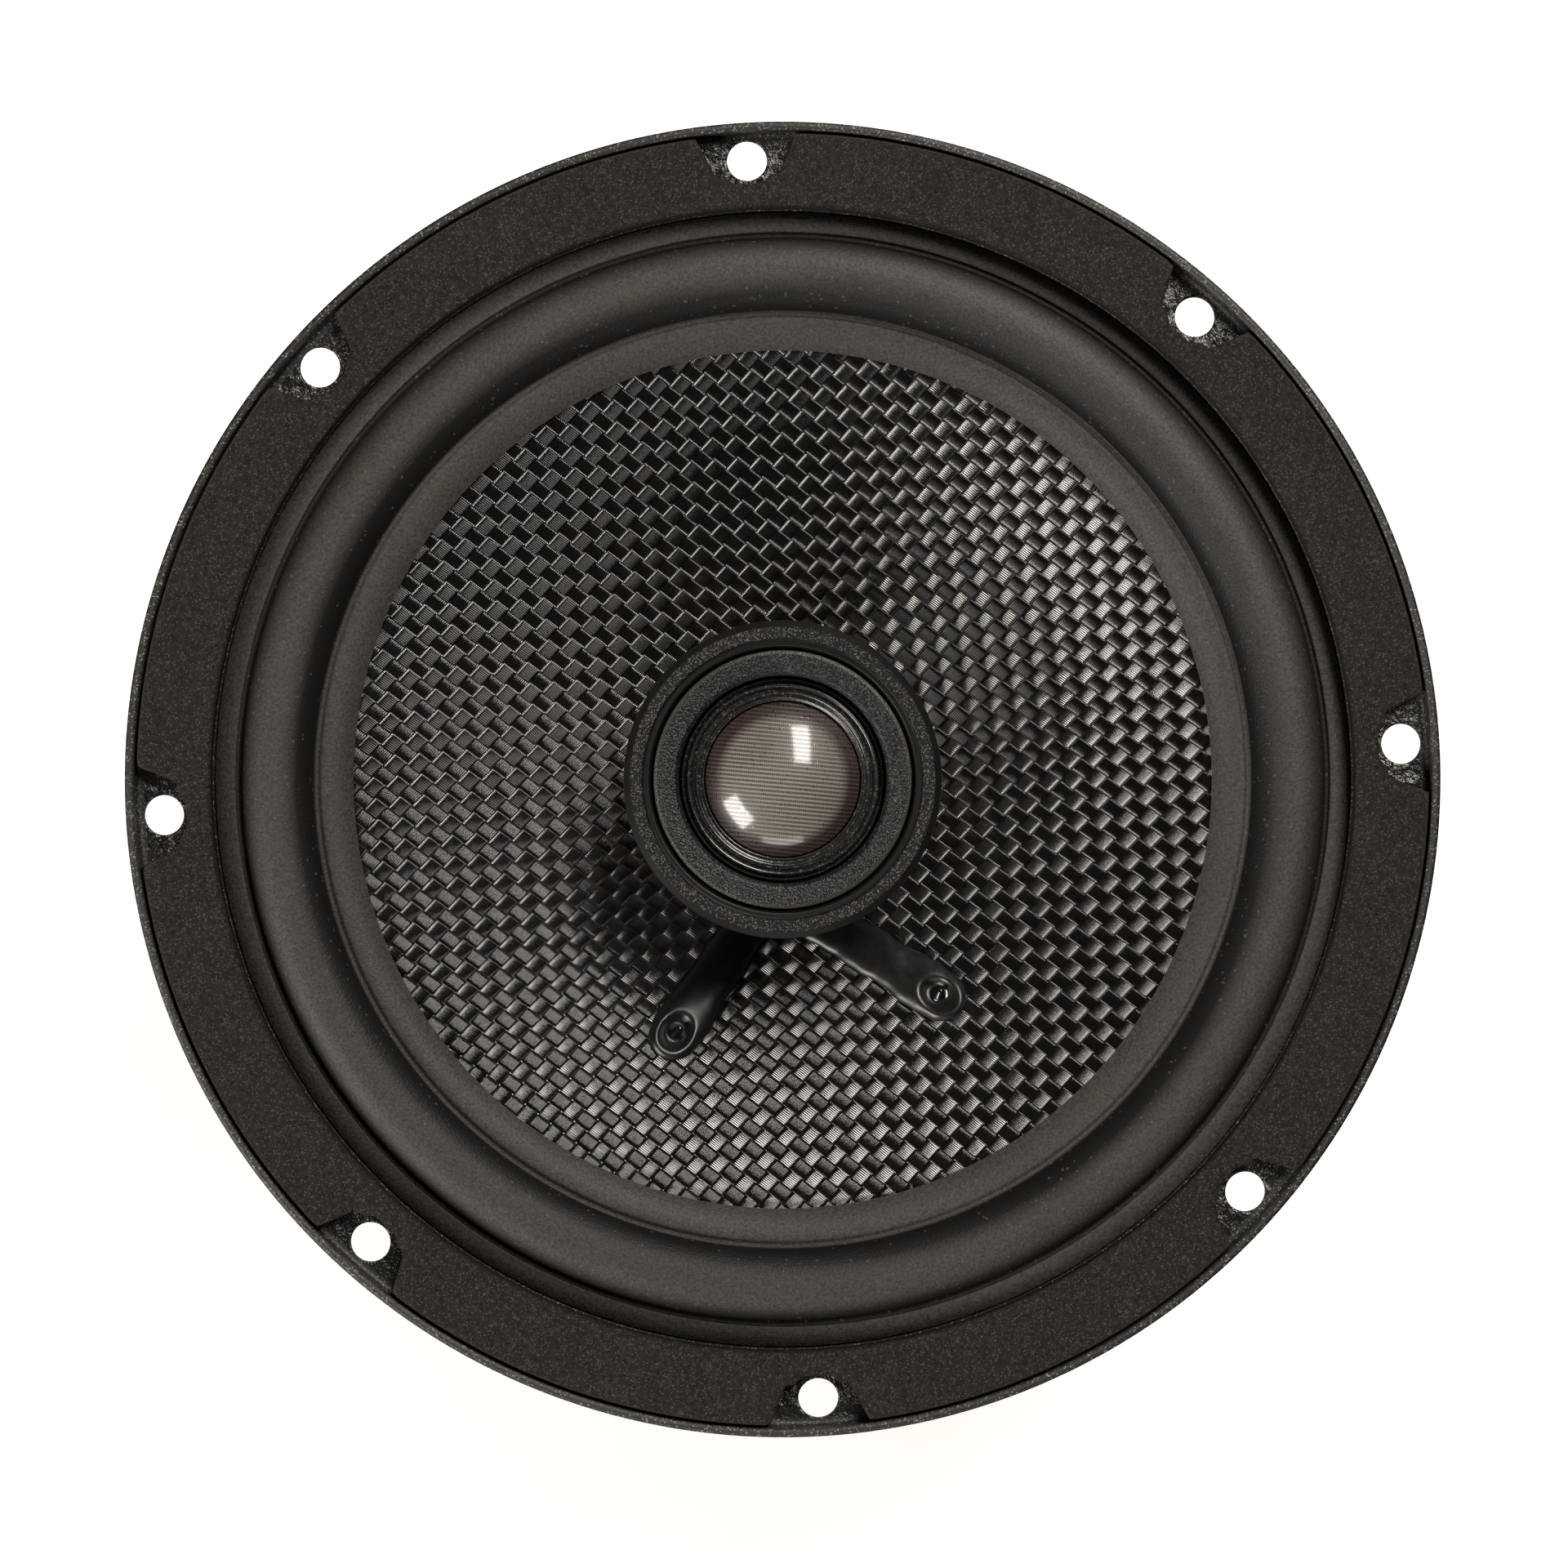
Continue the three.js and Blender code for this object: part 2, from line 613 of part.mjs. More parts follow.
// Braided leads from the eyelets behind the cone to the terminals' rivets, with slack for travel.
DRESSINGS.left.lead = [[-16.2, -33.5, 45.5], [-15, -38, 42.2], [-12.5, -43, 41.6], [-10.9, -46, 40.4]];
DRESSINGS.right.lead = [[19.2, -31.5, 45.2], [17.5, -37, 42.2], [13.5, -43, 41.6], [11, -46, 40.4]];
Object.values(DRESSINGS).forEach(({ eyelet, lead }, i) => {
  const below = coneNormal(...eyelet).multiplyScalar(-1.9);
  const top = [eyelet[0] + below.x, eyelet[1] + below.y, coneTop(Math.hypot(...eyelet)) + below.z];
  const bottom = [Math.sign(eyelet[0]) * TERMINAL_X, BOARD.y + 1.0, TERMINAL_Z];
  const name = i ? "tinsel_lead_positive" : "tinsel_lead_negative";
  add(name, wire([top, ...lead, bottom], 0.55, 12), FINISHES.tinned);
});

// The tweeter's two wires: down the post, along the boot's rear groove and up its side.
const WIRE_R = 0.6;
const WIRE_X = 0.8;
const downThePost = [53, 40, 25, 12, 5.2].map((z) => [0, z]);
const alongTheBoot = [[-1.3, 2.5], [-4.5, 1.05], [-12, 0.95], [-25, 0.95], [-36, 0.95]];
const upTheSide = [[-40.4, 1.9], [-42.1, 5.2], [-42.1, 13], [-42.1, 22]];
const wireRun = (x) => [...downThePost, ...alongTheBoot, ...upTheSide].map(([y, z]) => [x, y, z]);
const toCapacitor = [[1.0, -42.1, 25.6], [2.2, -42.1, 27.6], [4.1, -42.1, 28.1]];
const toTerminal = [[-1.2, -42.3, 25.5], [-4, -44.6, 28], [-7.4, -47.8, 29.4], [-9.6, -49.2, 29.6]];

add("tweeter_wire_positive", wire([...wireRun(WIRE_X), ...toCapacitor], WIRE_R, 38), FINISHES.redSleeve);
add("tweeter_wire_negative", wire([...wireRun(-WIRE_X), ...toTerminal], WIRE_R, 40), FINISHES.blackSleeve);

// The tweeter's series capacitor, glued on the boot's upper edge.
const CAPACITOR = { r: 3.9, start: 4.5, length: 13, y: -42.1, z: 28.1 };
const can = [[0, 0], [3.3, 0], [3.9, 0.6], [3.9, 12.4], [3.3, 13], [0, 13]];
add(
  "crossover_capacitor",
  turned(can, 16).rotateY(Math.PI / 2),
  FINISHES.capacitorSleeve,
).position.set(CAPACITOR.start, CAPACITOR.y, CAPACITOR.z);
const capacitorEnd = CAPACITOR.start + CAPACITOR.length + 0.3;
const leadPoints = [
  [capacitorEnd, CAPACITOR.y, CAPACITOR.z],
  [19.6, -43.2, 28.3],
  [19.1, -46.5, 28.8],
  [15.5, -48.8, 29.2],
  [12.6, -49.4, 29.3],
];
add("capacitor_lead", wire(leadPoints, 0.45, 8), FINISHES.tinned);

export default speaker;
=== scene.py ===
import math

import bmesh
import bpy
import numpy as np
from mathutils import Matrix


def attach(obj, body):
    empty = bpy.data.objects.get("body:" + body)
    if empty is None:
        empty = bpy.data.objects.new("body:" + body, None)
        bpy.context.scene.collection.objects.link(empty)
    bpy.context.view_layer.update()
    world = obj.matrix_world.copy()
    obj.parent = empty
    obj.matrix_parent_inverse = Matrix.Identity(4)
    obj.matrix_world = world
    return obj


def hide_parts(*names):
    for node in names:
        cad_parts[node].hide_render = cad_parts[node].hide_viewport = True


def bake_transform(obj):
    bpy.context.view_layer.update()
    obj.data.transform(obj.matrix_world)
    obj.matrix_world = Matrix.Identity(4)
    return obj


# A 165 mm coaxial car speaker: pressed basket, ferrite motor, woven cone on a rubber surround,
# and a dome tweeter on a post. Lengths below are millimetres unless a name says otherwise,
# z = 0 is the rear of the magnet boot and +Z looks towards the listener.

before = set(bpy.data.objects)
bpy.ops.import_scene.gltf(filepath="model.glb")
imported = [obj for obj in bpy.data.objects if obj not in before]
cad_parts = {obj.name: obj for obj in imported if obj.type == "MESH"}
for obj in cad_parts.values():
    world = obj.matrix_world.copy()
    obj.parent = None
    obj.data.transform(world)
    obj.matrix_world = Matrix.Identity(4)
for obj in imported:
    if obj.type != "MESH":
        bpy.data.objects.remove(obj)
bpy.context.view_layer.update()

ROOT, CONE_BODY, TWEETER_BODY = "basket_assembly", "cone_assembly", "tweeter_diaphragm"


# ---------------------------------------------------------------- Camera and studio
# The camera looks straight down the speaker's axis from a little over half a metre, rolled so
# that the screw holes sit 3.3 degrees round. A pale floor lies under the magnet boot. A tall
# softbox at the upper right is the key, a smaller one at the lower left fills, and a wide
# panel overhead gives the rubber its long soft highlights.

ROLL_ANGLE = math.radians(3.3)
FLANGE_Z = 64.4

VIEW_WIDTH = 196.6
VIEW_CENTRE = (0.14, -0.58)

camera = bpy.data.objects.new("camera", bpy.data.cameras.new("camera"))
camera.data.lens = 100
camera.data.sensor_width = 36
camera_height = FLANGE_Z + VIEW_WIDTH * camera.data.lens / camera.data.sensor_width
camera.location = (VIEW_CENTRE[0] / 1000, VIEW_CENTRE[1] / 1000, camera_height / 1000)
camera.rotation_euler = (0, 0, -ROLL_ANGLE)
bpy.context.scene.collection.objects.link(camera)
bpy.context.scene.camera = camera
bpy.context.scene.view_settings.view_transform = "Standard"


def softbox(name, azimuth, off_axis, distance, width, height, watts, spin=0):
    """A warm rectangular lamp aimed at the tweeter: azimuth is counted from the picture's right,
    off_axis from the speaker's axis. Its height leans along the line of aim, and spin turns it
    round that line. All angles are in degrees."""
    data = bpy.data.lights.new(name, "AREA")
    data.shape = "RECTANGLE"
    data.size, data.size_y = width / 1000, height / 1000
    data.energy = watts
    data.color = (1, 0.945, 0.885)
    lamp = bpy.data.objects.new(name, data)
    round_axis = math.radians(azimuth) - ROLL_ANGLE
    tilt = math.radians(off_axis)
    direction = np.array(
        [math.sin(tilt) * math.cos(round_axis), math.sin(tilt) * math.sin(round_axis), math.cos(tilt)]
    )
    lamp.location = direction * distance / 1000 + np.array([0, 0, FLANGE_Z / 1000])
    turns = [(round_axis + math.pi / 2, "Z"), (tilt, "X"), (math.radians(spin), "Z")]
    first, second, third = [Matrix.Rotation(angle, 3, axis) for angle, axis in turns]
    lamp.rotation_euler = (first @ second @ third).to_euler()
    lamp.visible_camera = False
    bpy.context.scene.collection.objects.link(lamp)


softbox("key_softbox", 62, 43, 1000, 290, 720, 14, spin=28)
softbox("fill_softbox", 216, 60, 1000, 520, 330, 11)
softbox("low_fill", 270, 72, 1100, 700, 300, 3.5)
softbox("overhead_panel", 90, 0, 1500, 1600, 1600, 1.0)

world = bpy.data.worlds.new("studio")
bpy.context.scene.world = world
world.use_nodes = True
room = world.node_tree.nodes["Background"]
room.inputs["Color"].default_value = (1, 0.985, 0.965, 1)
ambient, seen_backdrop = 0.015, 1.0
light_path = world.node_tree.nodes.new("ShaderNodeLightPath")
level = world.node_tree.nodes.new("ShaderNodeMapRange")
level.inputs["To Min"].default_value = ambient
level.inputs["To Max"].default_value = seen_backdrop
world.node_tree.links.new(light_path.outputs["Is Camera Ray"], level.inputs["Value"])
world.node_tree.links.new(level.outputs["Result"], room.inputs["Strength"])


class Wire:
    """One output of a node. Arithmetic on it adds Math nodes, so a pattern reads as a formula."""

    def __init__(self, finish, socket):
        self.finish, self.socket = finish, socket

    def maths(self, operation, *values):
        return self.finish.maths(operation, *values)

    def __add__(self, other):
        return self.maths("ADD", self, other)

    def __sub__(self, other):
        return self.maths("SUBTRACT", self, other)

    def __rsub__(self, other):
        return self.maths("SUBTRACT", other, self)

    def __mul__(self, other):
        return self.maths("MULTIPLY", self, other)

    def __truediv__(self, other):
        return self.maths("DIVIDE", self, other)

    def __pow__(self, other):
        return self.maths("POWER", self, other)

    def __lt__(self, other):
        return self.maths("LESS_THAN", self, other)

    def __gt__(self, other):
        return self.maths("GREATER_THAN", self, other)

    def __abs__(self):
        return self.maths("ABSOLUTE", self)

    __radd__, __rmul__ = __add__, __mul__

    def sin(self):
        return self.maths("SINE", self)

    def fraction(self):
        return self.maths("FRACT", self)

    def clamped(self):
        return self.maths("MINIMUM", self.maths("MAXIMUM", self, 0), 1)


class Finish:
    """One real finish as a node material: constants sit on the shader, patterns feed it."""

    def __init__(self, name, constants):
        self.material = bpy.data.materials.new(name)
        self.material.use_nodes = True
        self.tree = self.material.node_tree
        self.shader = self.tree.nodes["Principled BSDF"]
        for socket, value in constants.items():
            self.shader.inputs[socket].default_value = value

    def node(self, kind, settings, inputs, output=0):
        """A node with its settings, its sockets' values or links, and one output as a wire."""
        made = self.tree.nodes.new(kind)
        for setting, value in settings.items():
            setattr(made, setting, value)
        for socket, value in inputs.items():
            if isinstance(value, Wire):
                self.tree.links.new(value.socket, made.inputs[socket])
            else:
                made.inputs[socket].default_value = value
        return Wire(self, made.outputs[output])

    def maths(self, operation, *values):
        return self.node("ShaderNodeMath", {"operation": operation}, dict(enumerate(values)))

    def feed(self, **patterns):
        """Links patterns to the shader's sockets, named in lower case with underscores."""
        for socket, value in patterns.items():
            self.tree.links.new(value.socket, self.shader.inputs[socket.replace("_", " ").title()])
        return self

    def at(self):
        return self.node("ShaderNodeTexCoord", {}, {}, "Object")

    def millimetres(self):
        """x, y and z of a point on the piece, in millimetres."""
        axes = [self.node("ShaderNodeSeparateXYZ", {}, {0: self.at()}, i) for i in range(3)]
        return [axis * 1000 for axis in axes]

    def radius_and_z(self):
        """The distance of a point from the speaker's axis, and its z, in millimetres."""
        x, y, z = self.millimetres()
        return (x * x + y * y) ** 0.5, z

    def noise(self, size, detail=2.0):
        """Cloudy noise between 0 and 1 whose lumps are about size across."""
        found = {"Scale": 1000 / size, "Detail": detail, "Vector": self.at()}
        return self.node("ShaderNodeTexNoise", {}, found, 0)

    def grains(self, size):
        """A random value from 0 to 1 for each grain of about this size."""
        found = {"Scale": 1000 / size, "Vector": self.at()}
        colour = self.node("ShaderNodeTexVoronoi", {}, found, "Color")
        return self.node("ShaderNodeSeparateColor", {}, {0: colour}, 0)

    def mix(self, factor, first, second):
        """One colour where factor is 0 and the other where it is 1."""
        sides = {0: factor, 6: solid(first), 7: solid(second)}
        return self.node("ShaderNodeMix", {"data_type": "RGBA"}, sides, 2)

    def relief(self, height):
        """A bump from a height in millimetres."""
        bump = {"Height": height, "Distance": 0.001, "Strength": 1.0}
        return self.feed(normal=self.node("ShaderNodeBump", {}, bump))


def solid(colour):
    """A colour as a socket takes it: a wire as it is, or three numbers made opaque."""
    return colour if isinstance(colour, Wire) else (*colour, 1)


def dress(obj, finish):
    """Gives a piece, or a node kept from the frame, one finish all over."""
    obj.data.materials.clear()
    obj.data.materials.append(finish.material)
    return obj


def pale_floor():
    """A sheet of white paper that reaches 6 m each way and glows a little, to lift its shadows."""
    floor = bpy.data.meshes.new("floor")
    reach = 6
    corners = [(-reach, -reach, 0), (reach, -reach, 0), (reach, reach, 0), (-reach, reach, 0)]
    floor.from_pydata(corners, [], [(0, 1, 2, 3)])
    obj = bpy.data.objects.new("floor", floor)
    bpy.context.scene.collection.objects.link(obj)
    glow = {"Emission Color": (1, 0.99, 0.98, 1), "Emission Strength": 0.3}
    paper = Finish("floor_paper", {"Roughness": 0.9, "Specular IOR Level": 0.1, **glow})
    paper.feed(base_color=paper.mix(paper.noise(300), (0.93, 0.93, 0.92), (0.96, 0.96, 0.955)))
    dress(obj, paper)


pale_floor()


# ---------------------------------------------------------------- Back plate and pole
# The motor's rear half is one cold-forged piece of mild steel, zinc plated. The magnet is glued
# on its plate, and the tweeter's post comes down through the pole into the counterbore.

def piece(name, points, faces, slot, finish, body=ROOT, stands_for=()):
    """A smooth mesh from points in millimetres, riding a body in place of nodes of the frame."""
    mesh = bpy.data.meshes.new(name)
    mesh.from_pydata((np.asarray(points).reshape(-1, 3) / 1000).tolist(), [], np.asarray(faces).tolist())
    work = bmesh.new()
    work.from_mesh(mesh)
    bmesh.ops.remove_doubles(work, verts=work.verts, dist=2e-6)
    bmesh.ops.dissolve_degenerate(work, edges=work.edges, dist=1e-7)
    bmesh.ops.recalc_face_normals(work, faces=work.faces)
    work.to_mesh(mesh)
    work.free()
    mesh.shade_smooth()
    obj = bpy.data.objects.new(name, mesh)
    bpy.context.scene.collection.objects.link(obj)
    if body:
        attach(obj, body)
    if stands_for:
        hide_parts(*stands_for)
    return dress(obj, finish)


def rounded(corners, closed=True, steps=4):
    """The outline through corners (r, z, radius). Each corner becomes an arc that touches both
    of its sides, swept evenly, with one point more on each side that holds the side straight."""
    corners = np.array(corners, float)
    points = corners[:, :2]
    made = []
    for i, (corner, radius) in enumerate(zip(points, corners[:, 2])):
        if radius == 0 or (not closed and i in (0, len(points) - 1)):
            made.append(corner[None])
            continue
        sides = np.array([points[i - 1], points[(i + 1) % len(points)]]) - corner
        lengths = np.linalg.norm(sides, axis=1)
        sides /= lengths[:, None]
        half = math.acos(np.clip(sides[0] @ sides[1], -1, 1)) / 2
        touch = min(radius / math.tan(half), 0.42 * lengths.min())
        radius = touch * math.tan(half)
        inwards_line = sides[0] + sides[1]
        centre = corner + inwards_line / np.linalg.norm(inwards_line) * radius / math.sin(half)
        first, last = corner + sides * touch - centre
        turn = math.pi - 2 * half
        share = np.linspace(0, 1, steps + 1)[:, None]
        arc = centre + (first * np.sin((1 - share) * turn) + last * np.sin(share * turn)) / math.sin(turn)
        hold = min(0.3 * radius, 0.1 * lengths.min())
        made += [corner + sides[:1] * (touch + hold), arc, corner + sides[1:] * (touch + hold)]
    return np.concatenate(made)


def grid_quads(rows, columns, close_rows=False, close_columns=False):
    """Quads between neighbours of a grid whose points are numbered along its rows."""
    number = np.arange(rows * columns).reshape(rows, columns)
    if close_rows:
        number = np.vstack([number, number[:1]])
    if close_columns:
        number = np.hstack([number, number[:, :1]])
    corners = [number[:-1, :-1], number[:-1, 1:], number[1:, 1:], number[1:, :-1]]
    return np.stack(corners, -1).reshape(-1, 4)


def turned(outline, columns=180, closed=True):
    """Every point (r, z) of an outline at every angle t round the axis: (r cos t, r sin t, z)."""
    outline = np.asarray(outline, float)
    t = np.linspace(0, 2 * math.pi, columns, endpoint=False)
    r, z = outline.T[:, :, None]
    points = np.stack([r * np.cos(t), r * np.sin(t), z + 0 * t], -1)
    return points, grid_quads(len(outline), columns, close_rows=closed, close_columns=True)


def turned_piece(name, corners, columns=180, closed=True, **details):
    """A piece turned from the outline through its corners, each rounded by its own radius."""
    return piece(name, *turned(rounded(corners, closed), columns, closed), **details)


def mottled(name, dark, light, size, roughness, depth=0.0, grain=0.15, **constants):
    """A finish whose colour and roughness drift together over lumps of a size in millimetres,
    with a fine grain over them and a relief of a depth in millimetres."""
    made = Finish(name, {key.replace("_", " "): value for key, value in constants.items()})
    cloud = made.noise(size, 4)
    fine = made.noise(grain, 2)
    made.feed(base_color=made.mix((cloud * 0.7 + fine * 0.3 - 0.25) * 2, dark, light))
    made.feed(roughness=roughness + (cloud - 0.5) * 0.22 + (fine - 0.5) * 0.12)
    return made.relief(fine * depth + cloud * depth * 0.5)


zinc_finish = mottled(
    "zinc_plated_steel", (0.26, 0.265, 0.27), (0.42, 0.42, 0.40),
    size=5, roughness=0.34, depth=0.01, Metallic=1.0,
)
turned_piece(
    "pole_and_back_plate",
    [
        (4, 7.2, 0.2), (7, 7.2, 0.2), (7, 4, 0.5), (37, 4, 1.0),
        (37, 9, 1.0), (12.3, 9, 0.3), (12.3, 29, 0.5), (4, 29, 0.4),
    ],
    stands_for=["t_yoke"],
    slot="zinc_steel",
    finish=zinc_finish,
)


# ---------------------------------------------------------------- Magnet
# A ring of sintered strontium ferrite, ground flat on both faces and glued to the back plate.
# Its sides keep the grain and small chips of the press.

ferrite_finish = mottled(
    "sintered_ferrite", (0.022, 0.022, 0.024), (0.055, 0.054, 0.056),
    size=1.2, roughness=0.62, depth=0.08, grain=0.3,
)
ferrite_ring = [(16, 9.05, 0.6), (40, 9.05, 0.9), (40, 23.95, 0.9), (16, 23.95, 0.6)]
turned_piece("ferrite_magnet", ferrite_ring, stands_for=["magnet"], slot="ferrite", finish=ferrite_finish)


# ---------------------------------------------------------------- Top plate
# A zinc-plated steel washer that closes the magnetic circuit round the coil. The basket's
# floor sits on it.

plate_ring = [(14.4, 24, 0.4), (38, 24, 0.7), (38, 29, 0.7), (14.4, 29, 0.4)]
turned_piece("front_plate", plate_ring, stands_for=["top_plate"], slot="zinc_steel", finish=zinc_finish)


# ---------------------------------------------------------------- Basket
# One pressing of 1 mm steel: floor, spider shelf, four ribbed legs between windows, a ledge for
# the surround, the wall that drops through the panel, and a tray with an upstanding lip. It is
# powder coated in a black sand texture; sealant has squeezed out into the screw notches.

SHEET = 1.0
SCREW_CIRCLE_R, SCREW_HOLE_R = 78.15, 2.52
TRAY_Z, LEDGE_Z, LIP_R = 61.2, 59.6, 81.5
RIVET_CIRCLE_R, RIVET_HOLE_R = 28.5, 2.0


def along(line):
    """How far each point of a line lies from its start, measured along it."""
    return np.concatenate([[0], np.cumsum(np.linalg.norm(np.diff(line, axis=0), axis=1))])


def shell(front, back, quads):
    """Points and faces of two skins that share their quads. The back one is turned over, and a
    wall joins them along every border edge, which is an edge that only one quad uses."""
    edges = np.concatenate([quads[:, [i, (i + 1) % 4]] for i in range(4)])
    _, where, uses = np.unique(np.sort(edges, axis=1), axis=0, return_index=True, return_counts=True)
    border = edges[where[uses == 1]]
    offset = len(front)
    wall = np.column_stack([border[:, 1], border[:, 0], border[:, 0] + offset, border[:, 1] + offset])
    return np.concatenate([front, back]), np.concatenate([quads, quads[:, ::-1] + offset, wall])


def folded(angle, count):
    """An angle measured from the nearest of count directions spaced evenly round the axis."""
    pitch = 2 * math.pi / count
    return (angle + pitch / 2) % pitch - pitch / 2


def basket_line():
    """The upper face of the sheet as [r, z], from the floor's hole out to the lip."""
    corners = [
        (20, 30.2, 0), (36.5, 30.2, 1.6), (40.3, 35.4, 1.2), (46.5, 35.4, 2.2), (66, 57.2, 1.2),
        (66, LEDGE_Z, 0.5), (71.8, LEDGE_Z, 0.5), (71.8, TRAY_Z, 0.5), (LIP_R, TRAY_Z, 0.6),
        (LIP_R, FLANGE_Z, 0),
    ]
    return rounded(corners, closed=False, steps=3)


def window_distance(radius, angle):
    """Distance outside a leg window, negative inside it: a box with round corners drawn in
    radius and arc length, whose half width grows with the radius."""
    middle, half_radius, corner = 56.3, 7.9, 4.0
    reach = np.abs(np.stack([radius - middle, folded(angle, 4) * radius]))
    limit = np.stack([np.full_like(radius, half_radius), 0.52 * radius])
    over = reach - limit + corner
    outside = np.linalg.norm(np.maximum(over, 0), axis=0)
    return outside + np.minimum(over.max(axis=0), 0) - corner


def hole_distance(radius, angle):
    """Distance outside the nearest screw hole's wall."""
    turn = folded(angle, 8)
    return np.hypot(radius * np.cos(turn) - SCREW_CIRCLE_R, radius * np.sin(turn)) - SCREW_HOLE_R


def rivet_hole_distance(radius, angle):
    """Distance outside the nearest rivet hole's wall."""
    turn = folded(angle - math.pi / 4, 4)
    return np.hypot(radius * np.cos(turn) - RIVET_CIRCLE_R, radius * np.sin(turn)) - RIVET_HOLE_R


def openings_distance(radius, angle):
    """Distance outside the nearest opening of any kind."""
    return np.minimum(
        np.minimum(window_distance(radius, angle), hole_distance(radius, angle)),
        rivet_hole_distance(radius, angle),
    )


def basket_shell():
    """The line carried round the axis. Where the grid falls in an opening its quads go, and the
    corners that stick into it are drawn back to its border down the slope of the distance."""
    line = basket_line()
    length = along(line)
    near_hole = np.interp([75.2, 81.0], line[-12:, 0], length[-12:])
    coarse, fine = 1.15, 0.36
    places = np.concatenate([length, np.arange(0, length[-1], coarse), np.arange(*near_hole, fine)])
    places = np.unique(places.round(2))
    places = places[np.concatenate([[True], np.diff(places) > 0.09])]
    near = np.arange(-2.7, 2.71, fine)
    between = np.linspace(2.7, 42.3, 29)[1:-1]
    angle = np.radians(np.concatenate([45 * k + np.concatenate([near, between]) for k in range(8)]))
    s, t = np.meshgrid(places, angle, indexing="ij")
    radius_at = lambda s: np.interp(s, length, line[:, 0])
    distance = openings_distance(radius_at(s), t)
    step = 0.02
    slope_s = (openings_distance(radius_at(s + step), t) - distance) / step
    slope_t = (openings_distance(radius_at(s), t + step / radius_at(s)) - distance) / step
    steep = np.maximum(slope_s**2 + slope_t**2, 0.2)
    inside = distance < 0
    s = np.where(inside, s - distance * slope_s / steep, s)
    t = np.where(inside, t - distance * slope_t / steep / radius_at(s), t)
    quads = grid_quads(*s.shape, close_columns=True)
    quads = quads[~inside.reshape(-1)[quads].all(axis=1)]
    s, t = s.reshape(-1), t.reshape(-1)
    slope = np.gradient(line, length, axis=0)
    down = np.column_stack([np.interp(s, length, slope[:, 1]), -np.interp(s, length, slope[:, 0])])
    down /= np.linalg.norm(down, axis=1)[:, None]
    profile = np.column_stack([np.interp(s, length, line[:, 0]), np.interp(s, length, line[:, 1])])
    leg = np.clip((profile[:, 0] - 47) / 3, 0, 1) * np.clip((65 - profile[:, 0]) / 3, 0, 1)
    rib = 0.9 * leg * np.exp(-((folded(t - math.pi / 4, 4) * profile[:, 0] / 3.2) ** 4))
    profile = profile + down * rib[:, None]
    turned_round = lambda p: np.column_stack([p[:, 0] * np.cos(t), p[:, 0] * np.sin(t), p[:, 1]])
    front, back = turned_round(profile), turned_round(profile + down * SHEET)
    used = np.unique(quads)
    renumber = np.zeros(len(front), int)
    renumber[used] = np.arange(len(used))
    return shell(front[used], back[used], renumber[quads])


def powder_coat():
    """Black sand-texture powder coat with mica sparkle. Inside the screw notches it is wet with
    sealant: glossy, lumpy and paler where grit has stuck."""
    coat = Finish("black_powder_coat", {"IOR": 1.5})
    radius, z = coat.radius_and_z()
    sand = coat.noise(0.42, 3)
    sparkle = coat.grains(0.16) > 0.93
    tray = (radius > 74.2) * (80.5 > radius) * (z > 60.9) * (61.7 > z)
    lumps = coat.noise(1.5, 4)
    glued = tray * (radius > 79.3)
    grit = (coat.noise(0.5, 3) > 0.56) * (coat.grains(0.22) > 0.5) * (tray - glued)
    black = coat.mix(sand, (0.005, 0.0046, 0.0043), (0.013, 0.012, 0.011))
    speckled = coat.mix(sparkle, black, (0.16, 0.145, 0.125))
    coated = coat.mix(glued * 0.8, speckled, (0.012, 0.011, 0.0105))
    coat.feed(base_color=coat.mix(grit * 0.45, coated, (0.12, 0.112, 0.104)))
    coat.feed(roughness=0.5 - tray * 0.32 + sand * 0.12)
    return coat.relief(sand * 0.10 + tray * lumps * 0.55)


powder_coat_finish = powder_coat()
piece(
    "basket_pressing",
    *basket_shell(),
    stands_for=["basket"],
    slot="powder_coated_steel",
    finish=powder_coat_finish,
)


# ---------------------------------------------------------------- Basket rivets
# Four steel rivets, headed over on the basket's floor, clamp it to the top plate.


def placed(points, origin, axis=(0, 0, 1)):
    """Points whose own z is turned to lie along an axis and whose zero is moved to an origin."""
    z = np.array(axis, float) / np.linalg.norm(axis)
    x = np.cross((0, 1, 0) if abs(z[1]) < 0.9 else (1, 0, 0), z)
    x /= np.linalg.norm(x)
    return np.asarray(points) @ np.array([x, np.cross(z, x), z]) + np.array(origin)


def rivet(head_r, height, shank_r, grip, tail_r):
    """A domed head above z = 0, a shank through the grip, and a tail that is flattened below."""
    end = -grip - 0.6
    outline = [
        (0, height, 0), (head_r * 0.62, height, 0.5), (head_r, height * 0.35, 0.4), (head_r, 0, 0.1),
        (shank_r, 0, 0.05), (shank_r, -grip, 0.05), (tail_r, -grip, 0.1), (tail_r, end, 0.25), (0, end, 0),
    ]
    return turned(rounded(outline, closed=False), 48, closed=False)


RIVET_SEAT_Z = 30.25
rivet_points, rivet_quads = rivet(head_r=3.2, height=1.2, shank_r=1.95, grip=5.6, tail_r=1.96)
for number in range(4):
    turn = math.radians(45 + 90 * number)
    rivet_centre = (RIVET_CIRCLE_R * math.cos(turn), RIVET_CIRCLE_R * math.sin(turn))
    piece(
        f"floor_rivet_{number + 1}",
        placed(rivet_points, (*rivet_centre, RIVET_SEAT_Z)),
        rivet_quads,
        stands_for=[f"basket_rivet_{number + 1}"],
        slot="zinc_steel",
        finish=zinc_finish,
    )


# ---------------------------------------------------------------- Magnet boot
# A moulded rubber cup that hides the magnet. A groove in its rear face leads the tweeter's
# wires out and up its side.

GROOVE_HALF, GROOVE_Z, GROOVE_WALL_R = 1.7, 2.2, 40.9


